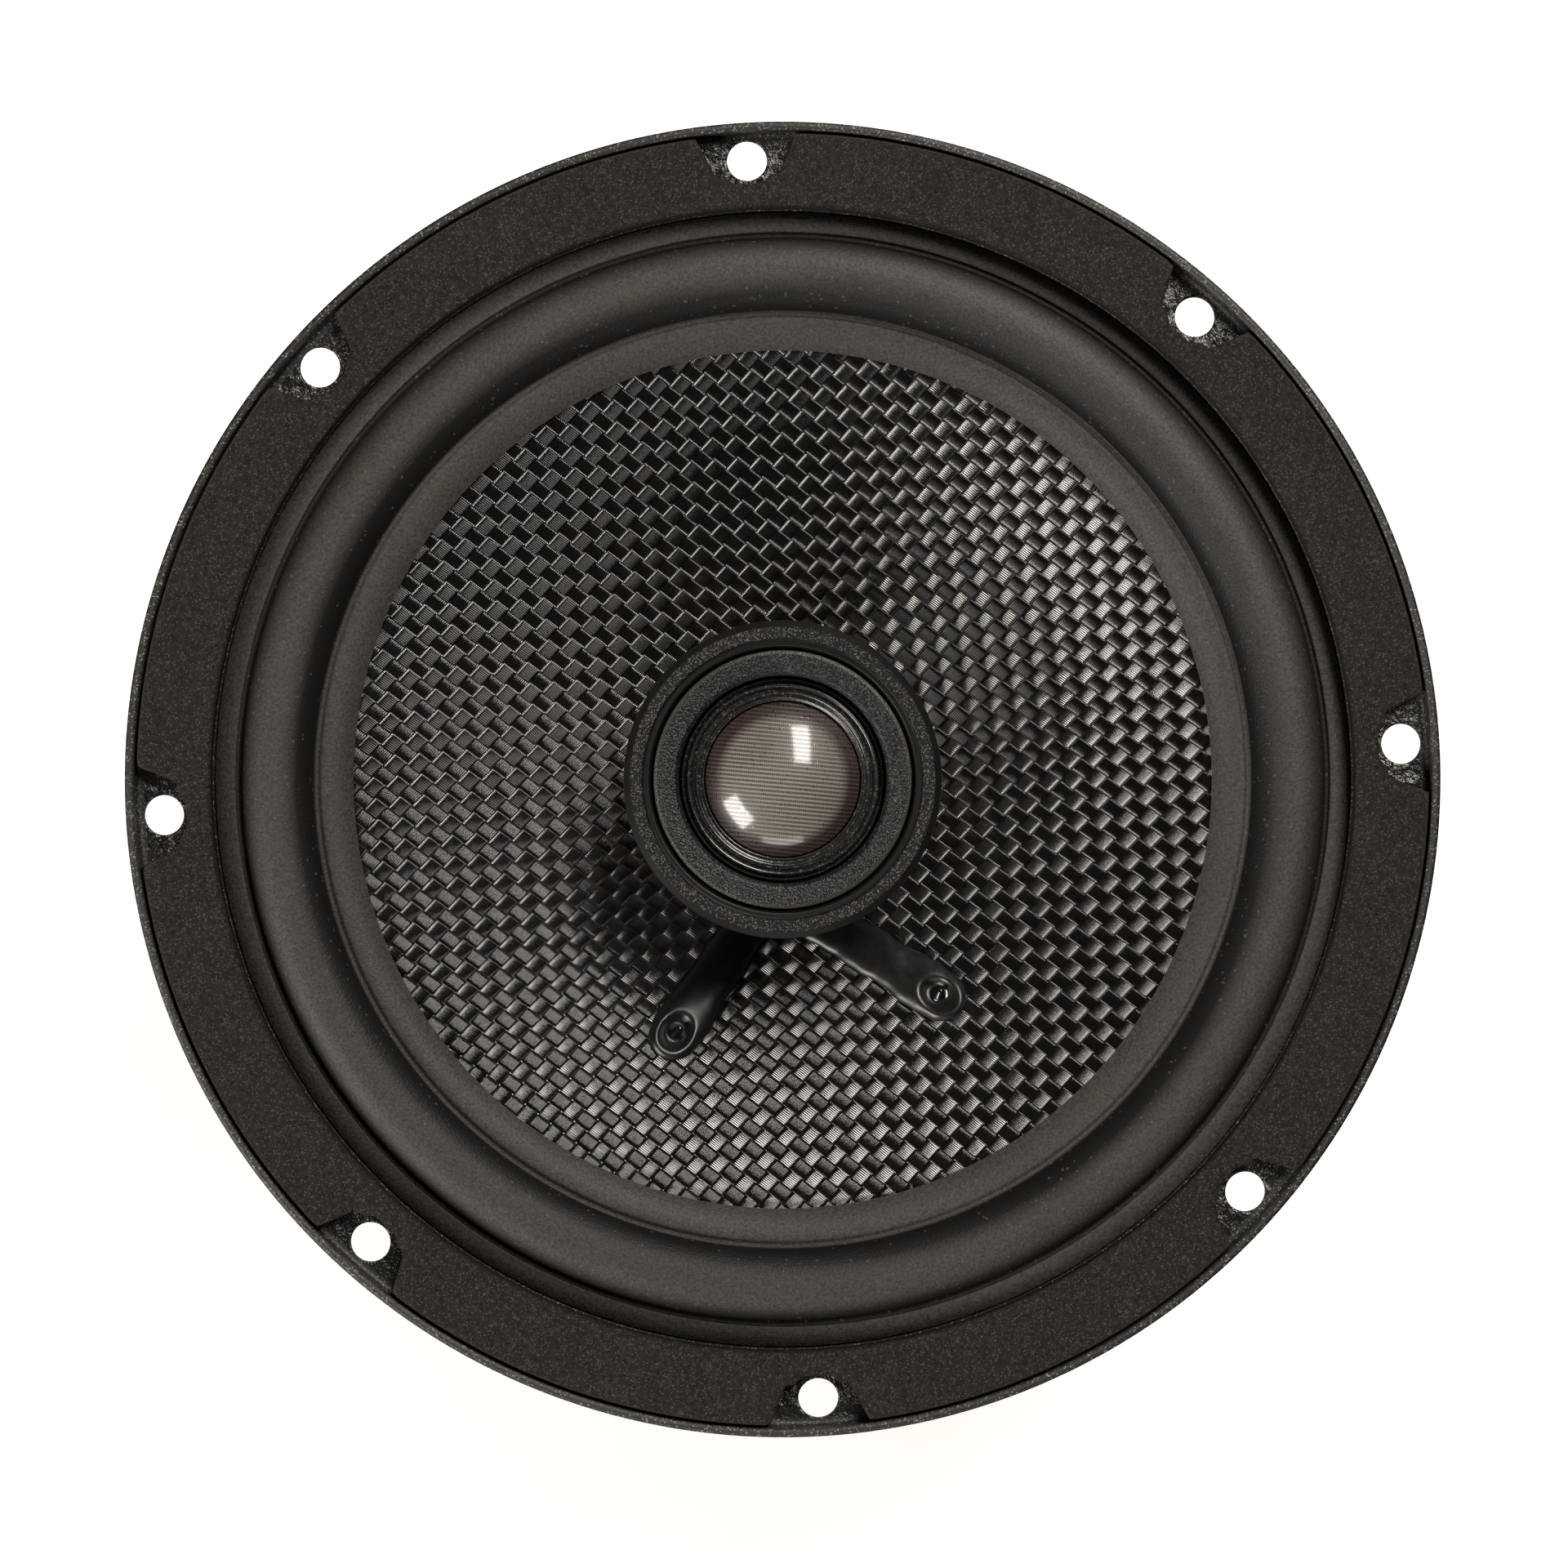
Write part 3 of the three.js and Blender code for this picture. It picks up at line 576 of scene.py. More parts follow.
def boot_surface():
    """The cup's outline at every angle. Columns near the groove run parallel to it at offsets x,
    at t = asin(x / r); the others share what is left of the turn. Within the groove, points of
    the rear face rise to its floor and points of the side move in to its wall."""
    corners = [(8, 0, 0.5), (43, 0, 2.2), (43, 24, 1.6), (40.3, 24, 0.5), (40.3, 3.95, 0.5)]
    outline = rounded([*corners, (8, 3.95, 0.5)], steps=6)
    stops = np.concatenate([np.arange(8.5, 41, 1.0), [41.0]])
    rear = np.column_stack([stops, 0 * stops])
    first = np.argmax(outline[:, 0] > 30)
    outline = np.concatenate([outline[:first], rear, outline[first:]])
    offsets = np.array([0, 0.8, 1.5, 1.62, 1.7, 1.78, 1.9, 2.4, 3.4])
    offsets = np.concatenate([-offsets[:0:-1], offsets])
    r, z = outline.T[:, :, None]
    near = np.arcsin(offsets / r)
    far = near[:, -1:] + (2 * math.pi - 2 * near[:, -1:]) * np.linspace(0, 1, 170)[1:-1]
    t = np.concatenate([near, far], axis=1)
    x = r * np.sin(t)
    within = np.clip((GROOVE_HALF + 0.06 - np.abs(x)) / 0.12, 0, 1) * (np.cos(t) > 0)
    z = z + within * np.maximum(GROOVE_Z - z, 0) * (r < 41)
    side = within * (r > GROOVE_WALL_R)
    r = r + side * (GROOVE_WALL_R / np.cos(np.where(side > 0, t, 0)) - r)
    points = np.stack([r * np.sin(t), -r * np.cos(t), z + 0 * t], -1)
    return points, grid_quads(*t.shape, close_rows=True, close_columns=True)


boot_finish = mottled(
    "boot_rubber", (0.007, 0.007, 0.007), (0.016, 0.0155, 0.015),
    size=9, roughness=0.5, depth=0.05, grain=0.35,
)
piece("boot_cup", *boot_surface(), stands_for=["magnet_boot"], slot="boot_rubber", finish=boot_finish)


# ---------------------------------------------------------------- Terminals
# A punched phenolic board stands on the basket's tab. Two tinned brass tabs, a wide positive
# and a narrow negative, are riveted to it with brass; a steel rivet holds the board itself.


def phenolic():
    """Brown paper laminate: pale fibres a few millimetres long lie in a dark resin."""
    board = Finish("phenolic_board", {"Coat Weight": 0.15})
    x, y, z = board.millimetres()
    stretched = board.node("ShaderNodeCombineXYZ", {}, {0: x * 0.3, 1: y, 2: z * 2.2})
    fibre = board.node("ShaderNodeTexNoise", {}, {"Scale": 1.4, "Detail": 5.0, "Vector": stretched}, 0)
    board.feed(base_color=board.mix((fibre - 0.35) * 3, (0.10, 0.045, 0.018), (0.24, 0.13, 0.06)))
    board.feed(roughness=0.42 + fibre * 0.2)
    return board.relief(fibre * 0.05)


tin_finish = mottled(
    "tinned_brass", (0.60, 0.60, 0.58), (0.80, 0.79, 0.76),
    size=2.5, roughness=0.28, depth=0.012, Metallic=1.0,
)
brass_finish = mottled(
    "soldered_brass", (0.58, 0.40, 0.16), (0.78, 0.60, 0.30),
    size=1.1, roughness=0.26, depth=0.03, Metallic=1.0,
)
dress(bpy.data.objects["terminal_board"], phenolic())
dress(bpy.data.objects["terminal_positive"], tin_finish)
dress(bpy.data.objects["terminal_negative"], tin_finish)
BOARD_FACE_Y, TAB_FACE_Y = -50.15, -51.0
TERMINAL_X, TERMINAL_Z = 10.5, 40
for name, x, front, grip, finish, slot in [
    ("terminal_rivet_positive", TERMINAL_X, TAB_FACE_Y, 2.45, brass_finish, "solder_brass"),
    ("terminal_rivet_negative", -TERMINAL_X, TAB_FACE_Y, 2.45, brass_finish, "solder_brass"),
    ("board_rivet", 0, BOARD_FACE_Y, 2.8, zinc_finish, "zinc_steel"),
]:
    rivet_points, rivet_quads = rivet(head_r=2.3, height=0.8, shank_r=1.3, grip=grip, tail_r=2.1)
    piece(
        "set_" + name,
        placed(rivet_points, (x, front, TERMINAL_Z), (0, -1, 0)),
        rivet_quads,
        stands_for=[name],
        slot=slot,
        finish=finish,
    )


# ---------------------------------------------------------------- Voice coil
# A polyimide former carries a coil of enamelled copper, two layers wound wet and baked. The
# former's upper end is glued inside the cone's collar.

kapton_finish = mottled(
    "polyimide_film", (0.20, 0.08, 0.015), (0.32, 0.14, 0.03),
    size=4, roughness=0.24, depth=0.006, Coat_Weight=0.4,
)
former_ring = [(12.75, 21.5), (13.1, 21.5), (13.1, 39.4), (12.75, 39.4)]
piece(
    "coil_former",
    *turned(former_ring),
    body=CONE_BODY,
    stands_for=["voice_coil_former"],
    slot="kapton_former",
    finish=kapton_finish,
)


def wound_outline(inner, outer, bottom, top, wire):
    """A winding's section: its outer face bulges once for every turn of the wire, by
    r = outer - wire/2 (1 - |sin(pi z / wire)|^0.5)."""
    z = np.linspace(bottom, top, int((top - bottom) / wire) * 6 + 1)
    bulge = np.abs(np.sin(math.pi * (z - bottom) / wire)) ** 0.5
    face = np.column_stack([outer - wire / 2 * (1 - bulge), z])
    return np.concatenate([face, [(inner, top), (inner, bottom)]])


copper_finish = mottled(
    "enamelled_copper", (0.42, 0.13, 0.04), (0.62, 0.24, 0.09),
    size=2, roughness=0.24, Metallic=1.0, Coat_Weight=0.6,
)
piece(
    "coil_winding",
    *turned(wound_outline(inner=13.15, outer=13.9, bottom=22, top=31, wire=0.3), columns=144),
    body=CONE_BODY,
    stands_for=["voice_coil_winding"],
    slot="copper_wire",
    finish=copper_finish,
)


# ---------------------------------------------------------------- Spider
# A disc of phenolic-dipped cotton, hot pressed into six folds. Its inner edge is glued to the
# former and its rim to the basket's shelf, so it stretches as the cone travels.


def smooth(share):
    """3 s^2 - 2 s^3 of a share held between 0 and 1."""
    share = np.clip(share, 0, 1)
    return share * share * (3 - 2 * share)


def stretching(obj, share):
    """Bakes obj's placement into its points and works out smooth(share(points)) for each, 0 towards the
    basket and 1 towards a moving body; nothing uses these weights.
    """
    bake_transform(obj)
    places = np.empty(len(obj.data.vertices) * 3)
    obj.data.vertices.foreach_get("co", places)
    weight = smooth(share(places.reshape(-1, 3) * 1000))


def inwards(inner, outer):
    """The share that is 1 within the inner radius and 0 beyond the outer one."""
    return lambda places: (outer - np.hypot(places[:, 0], places[:, 1])) / (outer - inner)


def sheet(line, thickness):
    """The closed outline of a sheet: its upper face is the line, its lower face lies under it."""
    slope = np.gradient(line, along(line), axis=0)
    down = np.column_stack([slope[:, 1], -slope[:, 0]])
    down /= np.linalg.norm(down, axis=1)[:, None]
    return np.concatenate([line, (line + down * thickness)[::-1]])


def spider_line():
    """z = 35.93 + 1.1 sin(12 pi (r - 17) / 22.5) over the folds, flat inside and outside them."""
    r = np.concatenate([[13.6, 15], np.linspace(16, 40.4, 120), [41.5, 46]])
    folds = np.sin(12 * math.pi * (r - 17) / 22.5) * (r > 17) * (r < 39.5)
    return np.column_stack([r, np.where(r > 40, 35.85, 35.93) + 1.1 * folds])


def spider_cloth():
    """Plain cotton: threads 0.55 mm apart in x and in y, the lattice deepening the resin."""
    cloth = Finish("dipped_cotton", {})
    x, y, _ = cloth.millimetres()
    threads = abs((x * 5.7).sin()) * abs((y * 5.7).sin())
    cloud = cloth.noise(7, 3)
    cloth.feed(base_color=cloth.mix(threads * 0.7 + cloud * 0.3, (0.20, 0.11, 0.03), (0.52, 0.35, 0.13)))
    cloth.feed(roughness=0.62 + cloud * 0.2)
    return cloth.relief(threads * 0.12)


spider = piece(
    "folded_spider",
    *turned(sheet(spider_line(), thickness=0.4), columns=240),
    body=None,
    stands_for=["spider"],
    slot="spider_cloth",
    finish=spider_cloth(),
)
stretching(spider, inwards(inner=15.5, outer=40))


# ---------------------------------------------------------------- Cone
# A paper-and-resin shell faced with a plain weave of flat glossy black fibre yarns. The cloth
# is bonded on before the cone is trimmed; its collar is glued round the coil former.

YARN_A = np.array([1.548, -1.319])
YARN_B = np.array([1.410, 1.356])
CLOTH_INNER_R, CLOTH_TRIM_R = 13.3, 54.9
NECK_R, NECK_Z, RIM_R = 13.35, 38.6, 54.2
CONE_RUN, CONE_RISE, CONE_CURVE = 40.85, 20, 0.85
RIM_SLOPE = 0.416  # CONE_CURVE * CONE_RISE / CONE_RUN


def cone_height(r):
    """The cone's upper face: it rises from the neck as the share of the run to the power of
    0.85, then goes on over the rim at a slope of 0.095."""
    share = np.clip((r - NECK_R) / CONE_RUN, 0, 1)
    return NECK_Z + CONE_RISE * share**CONE_CURVE + np.maximum(r - RIM_R, 0) * 0.095


def cone_shell_line():
    """The shell's upper face: the cone's own, lowered by the cloth, with a collar below it."""
    r = NECK_R + 45.05 * np.linspace(0, 1, 60) ** 1.5
    face = np.column_stack([r, cone_height(r) - 0.16])
    return np.concatenate([[(NECK_R, NECK_Z - 1.2), (NECK_R, NECK_Z - 0.7)], face])


def woven_skin():
    """A grid drawn in yarn coordinates a and b, where (x, y) = a A + b B. The relief is the
    higher of two families of yarns: each yarn rises and falls as cos(pi (a - 1/2)), one way in
    even rows and the other in odd ones, and is rounded off by the square of its width."""
    within_cell = np.array([0.03, 0.11, 0.5, 0.89, 0.97])
    cells = np.arange(-46, 46)
    line = (cells[:, None] + within_cell).reshape(-1)
    a, b = np.meshgrid(line, line, indexing="ij")
    plan = a[..., None] * YARN_A + b[..., None] * YARN_B
    radius = np.hypot(plan[..., 0], plan[..., 1])
    quads = grid_quads(*radius.shape)
    keep = (radius > CLOTH_INNER_R) & (radius < CLOTH_TRIM_R)
    quads = quads[keep.reshape(-1)[quads].any(axis=1)]
    trimmed = np.clip(radius, CLOTH_INNER_R, CLOTH_TRIM_R)
    plan = plan * (trimmed / radius)[..., None]
    rise = 0.05
    odd = lambda n: 1 - 2 * (np.floor(n) % 2)
    rounding = lambda n: 0.04 * (2 * (n % 1) - 1) ** 2
    over_a = rise * np.cos(math.pi * (a - 0.5)) * odd(b) - rounding(b)
    over_b = -rise * np.cos(math.pi * (b - 0.5)) * odd(a) - rounding(a)
    z = cone_height(trimmed) - 0.08 + np.maximum(over_a, over_b)
    points = np.concatenate([plan, z[..., None]], -1).reshape(-1, 3)
    used, numbers = np.unique(quads, return_inverse=True)
    return points[used], numbers.reshape(quads.shape)


def woven_fibre(name, skin):
    """Where a yarn shows, its fibres fan the surface's normal across it in narrow ridges, so
    the yarn shines where the light lies square to it. The normal tips along the yarn by
    0.16 d + 0.84 d^5, d being its place in the cell from -1 to 1, as the yarn dives under.
    On the skin the fans stand on the cone's own slope, RIM_SLOPE share^-0.15, to stay crisp."""
    cloth = Finish(name, {"IOR": 1.85})
    x, y, _ = cloth.millimetres()
    (a_x, a_y), (b_x, b_y) = np.linalg.inv(np.array([YARN_A, YARN_B]).T)
    a = x * a_x + y * a_y
    b = x * b_x + y * b_y
    across_a, across_b = b.fraction(), a.fraction()
    half, ridges = 0.475, 8 * 2 * math.pi
    in_a = abs(across_a - 0.5) < half
    in_b = abs(across_b - 0.5) < half
    even = 1 - ((a - across_b + b - across_a) / 2).fraction() * 2
    shown_a = in_a * (even + (1 - even) * (1 - in_b))
    shown_b = in_b * ((1 - even) + even * (1 - in_a))
    wander = cloth.noise(3, 2) * 5
    ridge_a = (across_a * ridges + wander).sin()
    ridge_b = (across_b * ridges + wander).sin()
    strength = 0.85 if skin else 0.5
    crown, crimp = 0.25, 0.85
    lean_a = (ridge_a * strength + (across_a - 0.5) * crown) * shown_a
    lean_b = (ridge_b * strength + (across_b - 0.5) * crown) * shown_b
    dive_a, dive_b = [d * (abs(d) ** 4 * 0.84 + 0.16) for d in (across_b * 2 - 1, across_a * 2 - 1)]
    along_a = dive_a * (even * 2 - 1) * shown_a * crimp
    along_b = dive_b * (1 - even * 2) * shown_b * crimp
    unit_a = YARN_A / np.linalg.norm(YARN_A)
    unit_b = YARN_B / np.linalg.norm(YARN_B)
    lean_x = lean_a * -unit_a[1] + lean_b * unit_b[1] + along_a * unit_a[0] + along_b * unit_b[0]
    lean_y = lean_a * unit_a[0] + lean_b * -unit_b[0] + along_a * unit_a[1] + along_b * unit_b[1]
    if skin:
        radius = (x * x + y * y) ** 0.5
        share = cloth.maths("MAXIMUM", (radius - NECK_R) / CONE_RUN, 0.02)
        fall = share ** (CONE_CURVE - 1) * RIM_SLOPE / radius
        fanned = {0: lean_x - x * fall, 1: lean_y - y * fall, 2: 1.0}
        leaning = cloth.node("ShaderNodeCombineXYZ", {}, fanned)
    else:
        plain = cloth.node("ShaderNodeNewGeometry", {}, {}, "Normal")
        lean = cloth.node("ShaderNodeCombineXYZ", {}, {0: lean_x, 1: lean_y})
        leaning = cloth.node("ShaderNodeVectorMath", {"operation": "ADD"}, {0: plain, 1: lean})
    cloth.feed(normal=cloth.node("ShaderNodeVectorMath", {"operation": "NORMALIZE"}, {0: leaning}))
    fibre = cloth.noise(0.5, 4)
    yarn = (shown_a + shown_b).clamped()
    colour = cloth.mix(fibre, (0.0006, 0.0005, 0.0004), (0.0028, 0.0024, 0.002))
    cloth.feed(base_color=cloth.mix(yarn, (0.001, 0.0009, 0.0008), colour))
    cloth.feed(roughness=0.10 + fibre * 0.09 + (1 - yarn) * 0.08)
    return cloth


piece(
    "cone_shell",
    *turned(sheet(cone_shell_line(), thickness=0.44), columns=240),
    body=CONE_BODY,
    stands_for=["cone"],
    slot="woven_fibre",
    finish=woven_fibre("woven_fibre_back", False),
)
piece(
    "cone_woven_skin",
    *woven_skin(),
    body=CONE_BODY,
    slot="woven_fibre",
    finish=woven_fibre("woven_fibre_skin", True),
)


# ---------------------------------------------------------------- Lead dressings and eyelets
# The coil's two ends run up the cone under beads of black adhesive, laid by hand, to brass
# eyelets that are crimped through it and filled with solder.

LEADS = {
    "left": ((-3.87, -16.36), (-15.6, -31.63)),
    "right": ((2.15, -17.24), (18.4, -28.76)),
}


def bead(start, eyelet, seed):
    """Rows run along the bead and columns across it. Its half width w(s) is a circle's at each
    end; its height is 1.45 (1 - v^2.4)^0.6, less an oval well of 2.3 mm round the eyelet."""
    start, eyelet = np.array(start), np.array(eyelet)
    length = np.linalg.norm(eyelet - start)
    forward = (eyelet - start) / length
    sideways = np.array([-forward[1], forward[0]])
    tail, nose, thickest = 2.8, 3.6, 1.45
    share = 0.5 - 0.5 * np.cos(np.linspace(0, math.pi, 80))
    s = -tail + share * (length + tail + nose)
    past = np.where(s < 0, -s / tail, np.maximum(s - length + 0.6, 0) / (nose + 0.6))
    body = 3.1 + 0.35 * smooth((s - length + 7) / 5)
    phase = np.random.default_rng(seed).uniform(0, 6.3, 3)
    body = body + 0.10 * np.sin(s * 0.9 + phase[0]) + 0.05 * np.sin(s * 2.3 + phase[1])
    half = (body * np.sqrt(np.clip(1 - past**2, 0, 1)))[:, None]
    v = np.sin(np.linspace(-math.pi / 2, math.pi / 2, 33))[None, :]
    plan = start + s[:, None, None] * forward + (half * v)[..., None] * sideways
    dome = np.clip(1 - np.abs(v) ** 2.4, 0, 1) ** 0.6 * np.clip(1 - past[:, None] ** 3, 0, 1) ** 0.6
    away = plan - eyelet
    well = np.hypot(away @ forward / 1.2, away @ sideways)
    ripple = 1 + 0.04 * np.sin(s[:, None] * 1.1 + v * 2 + phase[2])
    bowl = 0.1 + 0.97 * smooth((well - 1.1) / 1.35) - 0.07 * smooth((well - 2.6) / 2)
    height = thickest * dome * ripple * bowl
    radius = np.hypot(plan[..., 0], plan[..., 1])
    lay = cone_height(radius)
    upper = np.concatenate([plan, (lay + 0.06 + height)[..., None]], -1).reshape(-1, 3)
    lower = np.concatenate([plan, (lay - 0.04)[..., None]], -1).reshape(-1, 3)
    return shell(upper, lower, grid_quads(*radius.shape))


def cone_normal(x, y):
    """The cone's outward normal over a point of its plan, by differences."""
    r = math.hypot(x, y)
    slope = (cone_height(r + 0.1) - cone_height(r - 0.1)) / 0.2
    normal = np.array([-slope * x / r, -slope * y / r, 1])
    return normal / np.linalg.norm(normal)


def dressing_glue():
    """Black solvent adhesive, satin, with a skin that has wrinkled a little as it dried."""
    glue = Finish("lead_dressing_glue", {"Specular IOR Level": 0.45})
    skin = glue.noise(1.1, 3)
    fine = glue.noise(0.25, 2)
    glue.feed(base_color=glue.mix(skin, (0.003, 0.0028, 0.0025), (0.009, 0.008, 0.007)))
    glue.feed(roughness=0.27 + skin * 0.14)
    return glue.relief(skin * 0.018 + fine * 0.003)


def lacquered_solder():
    """Brass and solder behind the cone's face, z = 34.6 + 0.435 r hereabouts. In front of it the
    adhesive has flowed over the metal, glossy black."""
    solder = Finish("lacquered_solder", {"Coat Roughness": 0.08})
    radius, z = solder.radius_and_z()
    front = z - radius * 0.435 > 34.6
    lumps = solder.noise(1.0, 3)
    metal = solder.mix(lumps, (0.55, 0.38, 0.16), (0.78, 0.62, 0.34))
    solder.feed(base_color=solder.mix(front, metal, (0.004, 0.0038, 0.0035)))
    solder.feed(metallic=1 - front, roughness=0.30 + lumps * 0.1 - front * 0.16, coat_weight=front * 0.8)
    return solder.relief(lumps * 0.03)


dressing_finish = dressing_glue()
solder_finish = lacquered_solder()
for number, (side, (start, eyelet)) in enumerate(LEADS.items()):
    piece(
        f"adhesive_bead_{side}",
        *bead(start, eyelet, number + 3),
        body=CONE_BODY,
        stands_for=[f"lead_dressing_{side}"],
        slot="dressing_glue",
        finish=dressing_finish,
    )
    eyelet_outline = [
        (0, 1.15, 0), (0.3, 1.0, 0.2), (0.95, 0.15, 0.3), (1.6, -0.1, 0.1), (1.5, -0.2, 0.05),
        (0.9, -0.2, 0.05), (0.9, -1.0, 0.05), (1.5, -1.0, 0.1), (1.3, -1.5, 0.2), (0, -1.7, 0),
    ]
    eyelet_points, eyelet_quads = turned(rounded(eyelet_outline, closed=False), 40, closed=False)
    eyelet_points[..., :2] += np.maximum(eyelet_points[..., 2:], 0) * (0.45, 0.2)
    foot = (*eyelet, float(cone_height(math.hypot(*eyelet))) + 0.15)
    piece(
        f"soldered_eyelet_{side}",
        placed(eyelet_points, foot, cone_normal(*eyelet)),
        eyelet_quads,
        body=CONE_BODY,
        stands_for=[f"lead_eyelet_{side}"],
        slot="solder_brass",
        finish=solder_finish,
    )


# ---------------------------------------------------------------- Tinsel leads
# Two braided copper-foil leads hang with slack between the eyelets' feet and the terminals'
# rivets, so they flex as the cone travels.


def bent(corners, radius=30.0, step=0.3):
    """The path through 3-D corners, each rounded as the parabola between points `radius` along
    its two sides, or halfway if that is nearer, then sampled at an even step."""
    corners = np.array(corners, float)
    before, corner, after = corners[:-2], corners[1:-1], corners[2:]

    def towards(other):
        gap = np.linalg.norm(other - corner, axis=1, keepdims=True)
        return corner + (other - corner) * np.minimum(radius / gap, 0.5)

    u = np.linspace(0, 1, 9)[None, :, None]
    arcs = (1 - u) ** 2 * towards(before)[:, None] + 2 * u * (1 - u) * corner[:, None]
    arcs = (arcs + u**2 * towards(after)[:, None]).reshape(-1, 3)
    path = np.concatenate([corners[:1], arcs, corners[-1:]])
    path = path[np.concatenate([[True], np.linalg.norm(np.diff(path, axis=0), axis=1) > 1e-6])]
    length = along(path)
    stations = np.linspace(0, length[-1], int(length[-1] / step))
    return np.column_stack([np.interp(stations, length, path[:, i]) for i in range(3)])


def tube(path, radius, never, around=14, relief=0.0, turns=1.0):
    """Circles square to a path, closed at both ends. Two angles of each circle are fixed by a
    direction that the path never follows. A braid raises it by relief |sin(3 (t +- turns s))|."""
    tangent = np.gradient(path, axis=0)
    tangent /= np.linalg.norm(tangent, axis=1)[:, None]
    side = np.cross(tangent, never)
    side /= np.linalg.norm(side, axis=1)[:, None]
    other = np.cross(tangent, side)
    t = np.linspace(0, 2 * math.pi, around, endpoint=False)
    s = along(path)[:, None]
    braid = np.maximum(np.abs(np.sin(3 * (t + turns * s))), np.abs(np.sin(3 * (t - turns * s))))
    r = radius * (1 - relief + relief * braid)[..., None]
    rings = path[:, None] + r * (np.cos(t)[:, None] * side[:, None] + np.sin(t)[:, None] * other[:, None])
    start, end = np.repeat(path[:1], around, 0)[None], np.repeat(path[-1:], around, 0)[None]
    points = np.concatenate([start, rings, end])
    return points, grid_quads(len(points), around, close_columns=True)


tinsel_finish = mottled(
    "tinned_copper_braid", (0.50, 0.40, 0.30), (0.74, 0.66, 0.56),
    size=0.5, roughness=0.34, depth=0.03, Metallic=0.9,
)
left_hang = [(-16.2, -33.5, 45.5), (-15, -38, 42.2), (-12.5, -43, 41.6), (-10.9, -46, 40.4)]
right_hang = [(19.2, -31.5, 45.2), (17.5, -37, 42.2), (13.5, -43, 41.6), (11, -46, 40.4)]
for side, pole, hang, x in [
    ("left", "negative", left_hang, -TERMINAL_X),
    ("right", "positive", right_hang, TERMINAL_X),
]:
    eyelet = LEADS[side][1]
    height = float(cone_height(math.hypot(*eyelet)))
    top = np.array([*eyelet, height]) - 1.9 * cone_normal(*eyelet)
    run = bent([top, *hang, (x, -47.6, TERMINAL_Z)], step=0.2)
    lead = piece(
        f"tinsel_braid_{pole}",
        *tube(run, radius=0.55, never=(1, 0, 0), around=24, relief=0.22, turns=1.6),
        body=None,
        stands_for=[f"tinsel_lead_{pole}"],
        slot="tinned_metal",
        finish=tinsel_finish,
    )
    stretching(lead, lambda places: (places[:, 1] + 46.5) / 11.5)


# ---------------------------------------------------------------- Surround
# A half roll of butyl rubber, moulded with a flat lip that is glued on the cone's rim and a
# flange that is glued on the basket's ledge. The roll lets the cone travel.


def surround_line():
    """The upper face: lip, a small groove, the arch r = 63.85 - 4.55 cos t that stands
    3.85 sin t - 0.35 over the line between its feet, an outer groove, and the flange."""
    t = np.linspace(0.12, math.pi - 0.12, 49)
    r = 63.85 - 4.55 * np.cos(t)
    arch = np.column_stack([r, np.interp(r, [59.3, 68.4], [59.5, 60.05]) + 3.85 * np.sin(t) - 0.35])
    lip = rounded([(54.3, 59.3, 0), (58.35, 59.7, 0.5), (58.75, 59.42, 0.3), (59.2, 59.45, 0)], closed=False)
    flange = rounded(
        [(68.62, 60.02, 0), (68.95, 60.02, 0.15), (69.15, 60.42, 0.2), (71.6, 60.42, 0)], closed=False
    )
    return np.concatenate([lip, arch, flange])


def surround_rubber():
    """Black butyl rubber with the mould's fine grain, faint rings and specks of dust. The crest of
    the roll and the two flats are painted paler as a painted highlight, and the slopes and
    grooves are left black as painted shade."""
    rubber = Finish("surround_rubber", {"Specular IOR Level": 0.22})
    radius, _ = rubber.radius_and_z()
    grain = rubber.noise(0.35, 3)
    bloom = rubber.noise(14, 4)
    rings = (radius * 19).sin() * 0.5 + 0.5
    dust = (rubber.grains(0.3) > 0.985) * 0.5
    # painted highlight: the crest of the roll and the two flats are painted paler, and the slopes and
    # grooves stay black as painted shade
    crest = 1 - (abs(radius - 64.8) / 3.6).clamped() ** 2
    flats = ((59.4 - radius) * 2).clamped() + ((radius - 68.8) * 2).clamped()
    painted_highlight = (crest + flats).clamped() * (0.75 + bloom * 0.5)
    black = rubber.mix(painted_highlight.clamped(), (0.0050, 0.0044, 0.0038), (0.050, 0.0447, 0.0393))
    dark_grain = rubber.mix(((grain - 0.5) * 1.6 + 0.25).clamped(), black, (0.004, 0.0036, 0.0032))
    rubber.feed(base_color=rubber.mix(dust, dark_grain, (0.07, 0.065, 0.06)))
    rubber.feed(roughness=0.42 + grain * 0.12 + bloom * 0.12)
    return rubber.relief(grain * 0.07 + rings * 0.006)


surround = piece(
    "rubber_roll",
    *turned(sheet(surround_line(), thickness=0.68), columns=360),
    body=None,
    stands_for=["surround"],
    slot="surround_rubber",
    finish=surround_rubber(),
)
stretching(surround, inwards(inner=58.9, outer=68.7))


# ---------------------------------------------------------------- Front gasket
# A die-cut ring of closed-cell foam, glued in the tray over the surround's flange, with a
# notch at every screw. The cut edge at the rim carries a painted highlight.

NOTCH_MOUTH = 6.3
GASKET_INNER_R, GASKET_OUTER_R = 71.9, 81.2


def notch_edge():
    """Half of a notch's edge, as (angle from the screw, radius): a nose that clears the hole, a
    short step beside it, then a straight flank out to the mouth."""
    corners = [(75.0, 0, 0), (75.0, 1.7, 0.9), (75.95, 2.9, 0.5), (76.1, 4.05, 0.6)]
    nose = rounded([*corners, (math.sqrt(GASKET_OUTER_R**2 - NOTCH_MOUTH**2), NOTCH_MOUTH, 0)], closed=False)
    flank = nose[-2] + (nose[-1] - nose[-2]) * np.linspace(0, 1, 16)[1:, None]
    edge = np.concatenate([nose[:-1], flank])
    return np.arctan2(edge[:, 1], edge[:, 0]), np.hypot(edge[:, 0], edge[:, 1])


